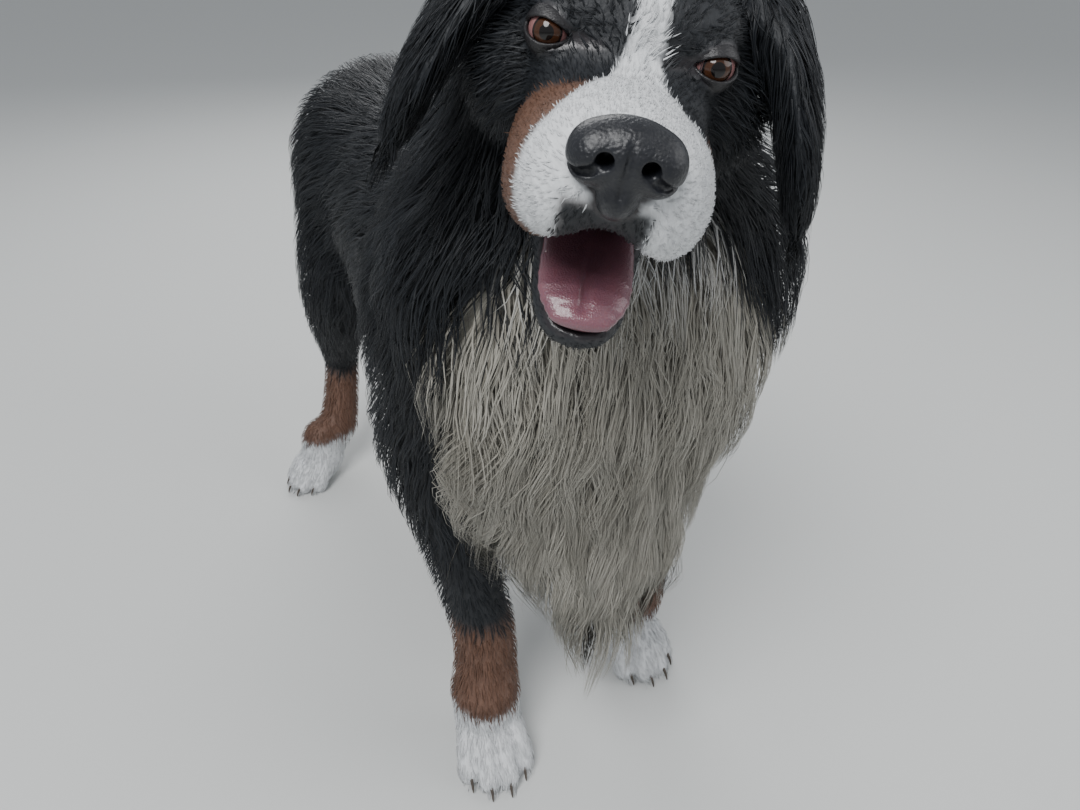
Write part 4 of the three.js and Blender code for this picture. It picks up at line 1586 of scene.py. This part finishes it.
@dataclass(frozen=True)
class SkinFinish:
    """The skin under the coat: the same markings, a little deeper, with a relief like short hair."""

    hair_scale: float = 420.0
    moist_scale: float = 260.0
    lip_grey: tuple[float, ...] = (0.030, 0.026, 0.029, 1)
    roughness: float = 0.62
    lip_gloss: float = -0.3  # what a lip adds to the roughness

    def make(self) -> bpy.types.Material:
        """Makes the material."""
        paint = Paint("skin_under_coat")
        strands = paint.noise(paint.place((1, 0.22, 0.5)), self.hair_scale, 3)
        lip = paint.value("lip")
        moist = paint.noise(paint.place(), self.moist_scale, 3)
        bare = paint.mix(moist, COATS.lip, self.lip_grey)
        paint.link(paint.mix(lip, COATS.colour(paint, strands), bare), "Base Color")
        paint.link(paint.math("MULTIPLY_ADD", lip, self.lip_gloss, self.roughness), "Roughness")
        relief = paint.mix(lip, strands, paint.math("MULTIPLY", moist, 0.4))
        paint.bump(relief, 0.0012)
        return paint.material


@dataclass(frozen=True)
class CoatFinish:
    """The coat's hair: black, white or rust by tuft, darkened toward the root by painted shade, with fine
    strands along it.
    """

    strand_count: float = 5.0
    root: float = 0.3  # how light a tuft is at its root, where painted shade darkens it
    gain: float = 0.6  # what it gains on the way to the tip
    tints: tuple[float, float] = (0.8, 0.45)  # what its tint does to that: a factor, and what all have

    def make(self) -> bpy.types.Material:
        """Makes the material."""
        paint = Paint("coat_hair")
        along, tint = paint.value("along"), paint.value("tint")
        # Painted shade: each tuft darkens from its tip down to its root.
        lit = paint.math("MULTIPLY_ADD", along, self.gain, self.root, clamp=True)
        factor, least = self.tints
        shade = paint.math("ADD", paint.math("MULTIPLY", tint, factor), least)
        lit = paint.math("MULTIPLY", lit, shade, clamp=True)
        paint.link(COATS.colour(paint, lit), "Base Color")
        paint.set(Roughness=0.5, Specular_IOR_Level=0.34)
        across = paint.math("MULTIPLY", paint.value("across"), self.strand_count)
        strand = paint.math("SINE", paint.math("ADD", across, paint.math("MULTIPLY", tint, 40.0)))
        paint.bump(strand, 0.0002, 0.6)
        return paint.material


@dataclass(frozen=True)
class NoseFinish:
    """Black nose leather: pebbled, moist, mottled with a grey that is painted sheen."""

    black: tuple[float, ...] = (0.0045, 0.0050, 0.0070, 1)
    # A painted sheen, mottled over the black by a noise.
    grey: tuple[float, ...] = (0.0150, 0.0165, 0.0210, 1)
    pebble: float = 620.0
    grain: float = 2600.0
    roughness: float = 0.26
    dullness: float = 0.25  # what the driest spots add to the roughness

    def make(self) -> bpy.types.Material:
        """Makes the material."""
        paint = Paint("nose_leather")
        place = paint.place()
        cells = paint.add("TexVoronoi", {"Vector": place, "Scale": self.pebble}, feature="SMOOTH_F1")
        fine = paint.noise(place, self.grain, 2)
        height = paint.math("SUBTRACT", paint.math("MULTIPLY", fine, 0.3), cells.outputs["Distance"])
        # The black mottled with the grey of painted sheen.
        paint.link(paint.mix(paint.noise(place, 90, 3), self.black, self.grey), "Base Color")
        dry = paint.noise(place, 160, 2)
        paint.link(paint.math("MULTIPLY_ADD", dry, self.dullness, self.roughness), "Roughness")
        paint.set(Coat_Weight=0.15, Coat_Roughness=0.25, Specular_IOR_Level=0.42)
        paint.bump(height, 0.0005, 0.8)
        return paint.material


@dataclass(frozen=True)
class TongueFinish:
    """A wet tongue: pink to mauve, finely rough."""

    pink: tuple[float, ...] = (0.235, 0.095, 0.120, 1)
    mauve: tuple[float, ...] = (0.115, 0.046, 0.064, 1)
    papillae: float = 900.0

    def make(self) -> bpy.types.Material:
        """Makes the material."""
        paint = Paint("tongue_flesh")
        place = paint.place()
        paint.link(paint.mix(paint.noise(place, 70, 4), self.mauve, self.pink), "Base Color")
        cells = paint.add("TexVoronoi", {"Vector": place, "Scale": self.papillae}, feature="F1")
        paint.set(Roughness=0.34, Coat_Weight=0.5, Coat_Roughness=0.12)
        paint.set(Subsurface_Weight=0.12, Subsurface_Scale=0.004)
        paint.bump(cells.outputs["Distance"], 0.0004, 0.7)
        return paint.material


@dataclass(frozen=True)
class EyeFinish:
    """A dark brown eye: black pupil, streaked iris, dark rim and a reddish white, under a wet coat."""

    pupil: float = 0.33  # radians from the middle
    iris: float = 0.70
    rim: float = 0.06  # radians of dark rim, inside the iris's edge
    spokes: tuple[float, float] = (9.0, 3.0)  # how closely the streaks lie round the iris and along it
    black: tuple[float, ...] = (0.004, 0.003, 0.003, 1)
    vein: tuple[float, ...] = (0.26, 0.10, 0.095, 1)
    brown: tuple[float, ...] = (0.022, 0.008, 0.004, 1)
    amber: tuple[float, ...] = (0.070, 0.026, 0.010, 1)
    white: tuple[float, ...] = (0.22, 0.14, 0.14, 1)

    def make(self) -> bpy.types.Material:
        """Makes the material."""
        paint = Paint("eye_wet")
        angle, around = paint.value("angle"), paint.value("around")
        round_it, along_it = self.spokes
        spot = {0: paint.math("MULTIPLY", around, round_it), 1: paint.math("MULTIPLY", angle, along_it)}
        streaks = paint.noise(paint.add("CombineXYZ", spot).outputs[0], 2.2, 4)
        iris = paint.mix(streaks, self.brown, self.amber)
        colour = paint.mix(self.edge(paint, angle, self.pupil, 0.03), self.black, iris)
        colour = paint.mix(self.edge(paint, angle, self.iris - self.rim, 0.1), colour, self.black)
        veins = paint.noise(paint.place(), 420, 4)
        white = paint.mix(veins, self.white, self.vein)
        colour = paint.mix(self.edge(paint, angle, self.iris + 0.07, 0.06), colour, white)
        paint.link(colour, "Base Color")
        paint.set(Roughness=0.12, Coat_Weight=0.45, Coat_Roughness=0.02, Specular_IOR_Level=0.25)
        return paint.material

    def edge(
        self, paint: Paint, angle: bpy.types.NodeSocket, at: float, width: float
    ) -> bpy.types.NodeSocket:
        """Gives a socket that rises from 0 to 1 as the angle passes a place."""
        ends = {"From Min": at - width / 2, "From Max": at + width / 2}
        return paint.add("MapRange", {"Value": angle, **ends}).outputs["Result"]


@dataclass(frozen=True)
class LidFinish:
    """The bare skin of the eyelids: black, finely creased and a little moist."""

    black: tuple[float, ...] = (0.006, 0.006, 0.007, 1)
    grey: tuple[float, ...] = (0.020, 0.019, 0.021, 1)
    crease_scale: float = 520.0

    def make(self) -> bpy.types.Material:
        """Makes the material."""
        paint = Paint("lid_skin")
        creases = paint.noise(paint.place((1, 1, 2.4)), self.crease_scale, 4)
        paint.link(paint.mix(creases, self.black, self.grey), "Base Color")
        paint.set(Roughness=0.42)
        paint.bump(creases, 0.0006, 0.8)
        return paint.material


@dataclass(frozen=True)
class ClawFinish:
    """Dark horn with long fine streaks."""

    dark: tuple[float, ...] = (0.016, 0.013, 0.011, 1)
    pale: tuple[float, ...] = (0.11, 0.085, 0.065, 1)
    streak_scale: float = 700.0

    def make(self) -> bpy.types.Material:
        """Makes the material."""
        paint = Paint("claw_horn")
        streaks = paint.noise(paint.place((1, 0.2, 1)), self.streak_scale, 3)
        paint.link(paint.mix(streaks, self.dark, self.pale), "Base Color")
        paint.set(Roughness=0.38)
        paint.bump(streaks, 0.0002, 0.5)
        return paint.material


@dataclass
class Nose:
    """The nose leather: a pad with two comma-shaped nostrils and a groove down its middle."""

    step: float = 0.8  # millimetres

    def shape(self) -> Solid:
        """Makes the nose in the head's frame."""
        wings = [Mass(local((15.5 * s, -110, -32)), local((11.5, 13.5, 13.5))) for s in SIDES.values()]
        pad = Blend(4, [
            Mass(local((0, -108, -30)), local((26.5, 16, 17))),
            Mass(local((0, -107, -47)), local((10.5, 14.5, 13))),
            *wings,
        ])
        for s in SIDES.values():
            pad = Hollowed(1.6, pad, self.nostril(s))
        return Hollowed(2.6, pad, self.groove())

    def nostril(self, side: int) -> Blend:
        """Makes a nostril's hollow, with the slit that runs back and out from it."""
        hole = ((11 * side, -130, -32, 4.4, 4.0), (9.5 * side, -112, -30, 3.8, 3.4))
        slit = (
            (11.5 * side, -125, -34, 3.2, 4.0), (17 * side, -122, -37.5, 2.2, 3.5),
            (22.5 * side, -117.5, -39, 1.5, 3.0), (27 * side, -110, -37, 1.0, 2.5),
        )
        return Blend(2, [*self.tapers(hole, (1, 0, 0)), *self.tapers(slit, (0, 0, 1))])

    def groove(self) -> Blend:
        """Makes the groove that parts the pad below the nostrils."""
        rows = (
            (0, -125, -22, 1.0, 1.8), (0, -124.8, -36, 1.5, 3.0),
            (0, -123.5, -45, 1.6, 3.4), (0, -124, -52, 1.2, 2.2),
        )
        return Blend(1, self.tapers(rows, (1, 0, 0)))

    def tapers(self, rows: Sequence[Sequence[float]], side: tuple[float, float, float]) -> list[Taper]:
        """Makes tapered lengths between rows of x, y, z and two half widths, the first towards the side."""
        table = np.array(rows) * MM
        return [Taper(a, b, np.array(side, dtype=float)) for a, b in zip(table, table[1:])]

    def build(self) -> bpy.types.Object:
        """Draws the nose."""
        piece = carved("nose_leather", self.shape(), self.step, 0.004, HEAD)
        finish_piece(piece, NoseFinish().make(), "nose", "nose")
        return piece


@dataclass
class Tongue:
    """The tongue, lying in the lower jaw, with a shallow furrow along it."""

    step: float = 1.5  # millimetres
    furrow: tuple[tuple[float, ...], ...] = (
        (0, 20, -61.5, 1.6, 1.2), (0, -40, -62.8, 1.8, 1.4), (0, -84, -69.5, 1.2, 1.0),
    )

    def build(self) -> bpy.types.Object:
        """Draws the tongue."""
        body = Blend(0.4, Anatomy().tongue(-0.3))
        rows = np.array(self.furrow) * MM
        furrow = Blend(1, [Taper(a, b, np.array([1.0, 0, 0])) for a, b in zip(rows, rows[1:])])
        piece = carved("tongue_flesh", Hollowed(5, body, furrow), self.step, 0.005, JAW, HEAD)
        finish_piece(piece, TongueFinish().make(), "tongue", "tongue")
        return piece


@dataclass
class Eye:
    """An eyeball with a bulging cornea, its iris and pupil coloured by how far they are from its middle."""

    side_name: str
    segments: int = 48
    rings: int = 40
    bulge: float = 0.9  # millimetres that the cornea stands out
    cornea: float = 0.74  # radians from the middle to the cornea's edge

    def build(self) -> bpy.types.Object:
        """Makes the eye, looking along its opening."""
        side = SIDES[self.side_name]
        bpy.ops.object.select_all(action="DESELECT")
        bpy.ops.mesh.primitive_uv_sphere_add(
            segments=self.segments, ring_count=self.rings, radius=EYE_RADIUS * MM, location=(0, 0, 0)
        )
        ball = bpy.context.active_object
        ball.name = f"eyeball_{self.side_name}"
        mesh = ball.data
        places = np.array([vertex.co[:] for vertex in mesh.vertices])
        angle = np.arccos(np.clip(places[:, 2] / (EYE_RADIUS * MM), -1, 1))
        out = 1 + self.bulge / EYE_RADIUS * ramp(angle, self.cornea, 0)
        mesh.vertices.foreach_set("co", (places * out[:, None]).astype(np.float32).ravel())
        set_values(ball, "angle", angle)
        set_values(ball, "around", np.arctan2(places[:, 1], places[:, 0]))
        gaze = Vector(mirrored(EYE_GAZE, side)).to_track_quat("Z", "Y").to_matrix().to_4x4()
        mesh.transform(HEAD @ Matrix.Translation(Vector(local(mirrored(EYE_AT, side)))) @ gaze)
        shade_smooth(mesh)
        mesh.update()
        finish_piece(ball, EyeFinish().make(), "eye", f"eye_{self.side_name}")
        return ball


@dataclass
class Lids:
    """The bare dark lids that lie on an eyeball, with a rounded rim."""

    side_name: str
    step: float = 0.7  # millimetres
    stand: float = 0.5  # millimetres that they stand above the skin

    def build(self) -> bpy.types.Object:
        """Draws the lids."""
        side = SIDES[self.side_name]
        ball = Mass(local(mirrored(EYE_AT, side)), np.full(3, (LID_RADIUS + self.stand) * MM))
        shape = Hollowed(1.3, ball, eye_opening(side))
        piece = carved(f"lids_{self.side_name}", shape, self.step, 0.003, HEAD)
        finish_piece(piece, LidFinish().make(), "nose")
        return piece


@dataclass
class Claws:
    """The sixteen claws, modelled once and copied to every toe."""

    sides: int = 12
    steps: int = 6
    radius: float = 3.7  # millimetres
    reach: float = 3.6  # millimetres to a step
    curl: float = 13  # degrees to a step
    narrowing: float = 0.84
    point: float = 0.35  # how much the last step narrows
    thinness: float = 0.72  # the width against the height
    back: float = 9  # millimetres from the toe's tip line back to the root
    height: float = 16.5  # millimetres
    lift: float = 14  # degrees by which it starts off upwards

    def pattern(self) -> bpy.types.Mesh:
        """Models one claw: a disc drawn out step by step along -Y, curling down to a blunt point.

        Returns:
            The claw's mesh, its root at the origin.
        """
        bpy.ops.object.select_all(action="DESELECT")
        bpy.ops.mesh.primitive_circle_add(
            vertices=self.sides, radius=self.radius * MM, fill_type="NGON", rotation=(math.pi / 2, 0, 0)
        )
        claw = bpy.context.active_object
        bpy.ops.object.transform_apply(location=False, rotation=True, scale=False)
        claw.data.transform(Matrix.Diagonal((self.thinness, 1, 1, 1)))
        bpy.ops.object.mode_set(mode="EDIT")
        bpy.ops.mesh.select_all(action="SELECT")
        at, heading = Vector((0, 0, 0)), 0.0
        for step in range(self.steps):
            way = Vector((0, -math.cos(heading), -math.sin(heading))) * self.reach * MM
            bpy.ops.mesh.extrude_region_move(TRANSFORM_OT_translate={"value": way})
            at += way
            turn = math.radians(self.curl)
            bpy.ops.transform.rotate(value=-turn, orient_axis="X", center_override=at)
            heading += turn
            share = self.narrowing if step < self.steps - 1 else self.point
            bpy.ops.transform.resize(value=(share, share, share), center_override=at)
        bpy.ops.mesh.select_all(action="SELECT")
        bpy.ops.mesh.normals_make_consistent(inside=False)
        bpy.ops.object.mode_set(mode="OBJECT")
        round_off = claw.modifiers.new("round", "SUBSURF")
        round_off.levels = round_off.render_levels = 1
        bpy.ops.object.modifier_apply(modifier=round_off.name)
        mesh = claw.data.copy()
        bpy.data.objects.remove(claw)
        return mesh

    def build(self) -> list[bpy.types.Object]:
        """Sets a claw on each toe."""
        pattern = self.pattern()
        finish = ClawFinish().make()
        pieces = []
        for leg in LEGS:
            for number, across in enumerate(TOE_SPREAD, start=1):
                mesh = pattern.copy()
                root = Matrix.Translation(Vector(local((across, self.back + toe_back(across), self.height))))
                mesh.transform(leg.foot() @ root @ Matrix.Rotation(math.radians(self.lift), 4, "X"))
                shade_smooth(mesh)
                piece = bpy.data.objects.new(f"horn_{leg.name}_{number}", mesh)
                bpy.context.scene.collection.objects.link(piece)
                finish_piece(piece, finish, "claw", f"claw_{leg.name}_{number}")
                pieces.append(piece)
        return pieces


@dataclass
class Stage:
    """The floor, the soft lights and the camera."""

    floor_size: float = 40.0
    floor_colour: tuple[float, ...] = (0.62, 0.63, 0.62, 1)
    sky_colour: tuple[float, ...] = (0.86, 0.9, 0.95, 1)
    sky_strength: float = 0.5
    lit: tuple[float, float, float] = (0, -0.1, 0.45)  # where the lamps aim
    lamps: tuple[tuple, ...] = (  # name, place, size in metres and power in watts
        ("key", (-1.3, -1.6, 2.9), 1.7, 96),
        ("fill", (2.2, -1.2, 1.8), 2.2, 22),
        ("rim", (0.4, 2.4, 2.4), 2.0, 45),
    )

    def build(self) -> None:
        """Makes the floor, the lights and the camera."""
        self.floor()
        self.lights()
        self.camera()

    def floor(self) -> None:
        """Lays a wide plain floor at the paws."""
        bpy.ops.mesh.primitive_plane_add(size=self.floor_size, location=(0, 0, 0))
        floor = bpy.context.active_object
        floor.name = "floor"
        paint = Paint("pale_floor")
        paint.set(Base_Color=self.floor_colour, Roughness=0.85)
        floor.data.materials.append(paint.material)

    def lights(self) -> None:
        """Hangs large soft lights, the strongest at the upper left, and a pale sky."""
        world = bpy.data.worlds.new("studio")
        bpy.context.scene.world = world
        world.use_nodes = True
        sky = world.node_tree.nodes["Background"]
        sky.inputs["Color"].default_value = self.sky_colour
        sky.inputs["Strength"].default_value = self.sky_strength
        for name, place, size, power in self.lamps:
            lamp = bpy.data.lights.new(name, "AREA")
            lamp.shape = "DISK"
            lamp.size = size
            lamp.energy = power
            holder = bpy.data.objects.new(name, lamp)
            holder.location = place
            aim = Vector(self.lit) - Vector(place)
            holder.rotation_euler = aim.to_track_quat("-Z", "Y").to_euler()
            bpy.context.scene.collection.objects.link(holder)

    def camera(self) -> None:
        """Sets the camera at the photograph's height and angle."""
        data = bpy.data.cameras.new("camera")
        data.sensor_fit = "HORIZONTAL"
        data.sensor_width = 36
        data.lens = CAMERA_LENS
        data.clip_start = 0.02
        holder = bpy.data.objects.new("camera", data)
        holder.location = stance(CAMERA_AT)
        turn, down = math.radians(-CAMERA_TURN), math.radians(CAMERA_DOWN)
        look = Vector((math.sin(turn) * math.cos(down), math.cos(turn) * math.cos(down), -math.sin(down)))
        holder.rotation_euler = look.to_track_quat("-Z", "Y").to_euler()
        bpy.context.scene.collection.objects.link(holder)
        bpy.context.scene.camera = holder


@dataclass
class Skin:
    """The one skin of the dog, with its lips and mouth. The grid's steps are in millimetres."""

    body_step: float = 8.0
    limb_step: float = 5.4
    head_step: float = 3.0
    spare: float = 0.02  # metres that the grid goes past the part's box

    def lines(self) -> tuple[np.ndarray, ...]:
        """Places the grid's lines: close at the head, less so at the paws, wide elsewhere.

        Returns:
            The places along each axis.
        """
        boxes = [np.array(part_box(name)) for name in ("head", "ear_left", "ear_right", "lower_jaw")]
        head = np.array([np.min([b[0] for b in boxes], axis=0), np.max([b[1] for b in boxes], axis=0)])
        low, high = np.array(CAD_BOX[0]) - self.spare, np.array(CAD_BOX[1]) + self.spare
        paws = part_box("fore_paw_right")[1][2]
        out = []
        for axis in range(3):
            at, line = low[axis], []
            while at < high[axis]:
                line.append(at)
                if head[0][axis] < at < head[1][axis]:
                    step = self.head_step
                elif axis == 0 or (axis == 2 and at < paws):
                    step = self.limb_step
                else:
                    step = self.body_step
                at += step * MM
            out.append(np.array(line))
        return tuple(out)

    def build(self, shape: Solid, markings: Markings) -> bpy.types.Object:
        """Draws the skin, unwraps it and stores its markings.

        Args:
            shape: The skin's shape.
            markings: Where the coat is white, rust or black.

        Returns:
            The skin.
        """
        points, quads = Net(shape, self.lines()).draw()
        skin = mesh_object("skin", points, [quads])
        bpy.ops.object.select_all(action="DESELECT")
        skin.select_set(True)
        bpy.context.view_layer.objects.active = skin
        bpy.ops.object.mode_set(mode="EDIT")
        bpy.ops.mesh.select_all(action="SELECT")
        bpy.ops.uv.smart_project(angle_limit=math.radians(66), island_margin=0.002)
        bpy.ops.object.mode_set(mode="OBJECT")
        skin.data.uv_layers[0].name = UNWRAP
        rng = np.random.default_rng(SEED)
        white, rust = markings.at(points, rng.uniform(-0.3, 0.3, len(points)))
        set_values(skin, "white", white)
        set_values(skin, "rust", rust)
        set_values(skin, "cream", markings.cream(points))
        set_values(skin, "lip", ramp(bare_depth(points), 1.2 * MM, -0.4 * MM))
        return skin


def main() -> None:
    """Builds the dog and its stage, and reports each piece."""
    logging.basicConfig(level=logging.INFO, format="%(relativeCreated)d %(message)s")
    bpy.ops.object.select_all(action="DESELECT")
    Stage().build()
    anatomy = Anatomy()
    markings = Markings()
    skin_shape = anatomy.skin()
    skin = Skin().build(skin_shape, markings)
    flesh = [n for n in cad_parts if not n.startswith(("eye", "claw", "nose", "tongue"))]
    finish_piece(skin, SkinFinish().make(), "black_coat", *flesh)
    Nose().build()
    Tongue().build()
    for side in SIDES:
        Eye(side).build()
        Lids(side).build()
    Claws().build()
    finish = CoatFinish().make()
    for piece in Coat(skin_shape, anatomy.outer()).build(skin, markings):
        finish_piece(piece, finish, "black_coat")


if __name__ == "__main__":
    main()
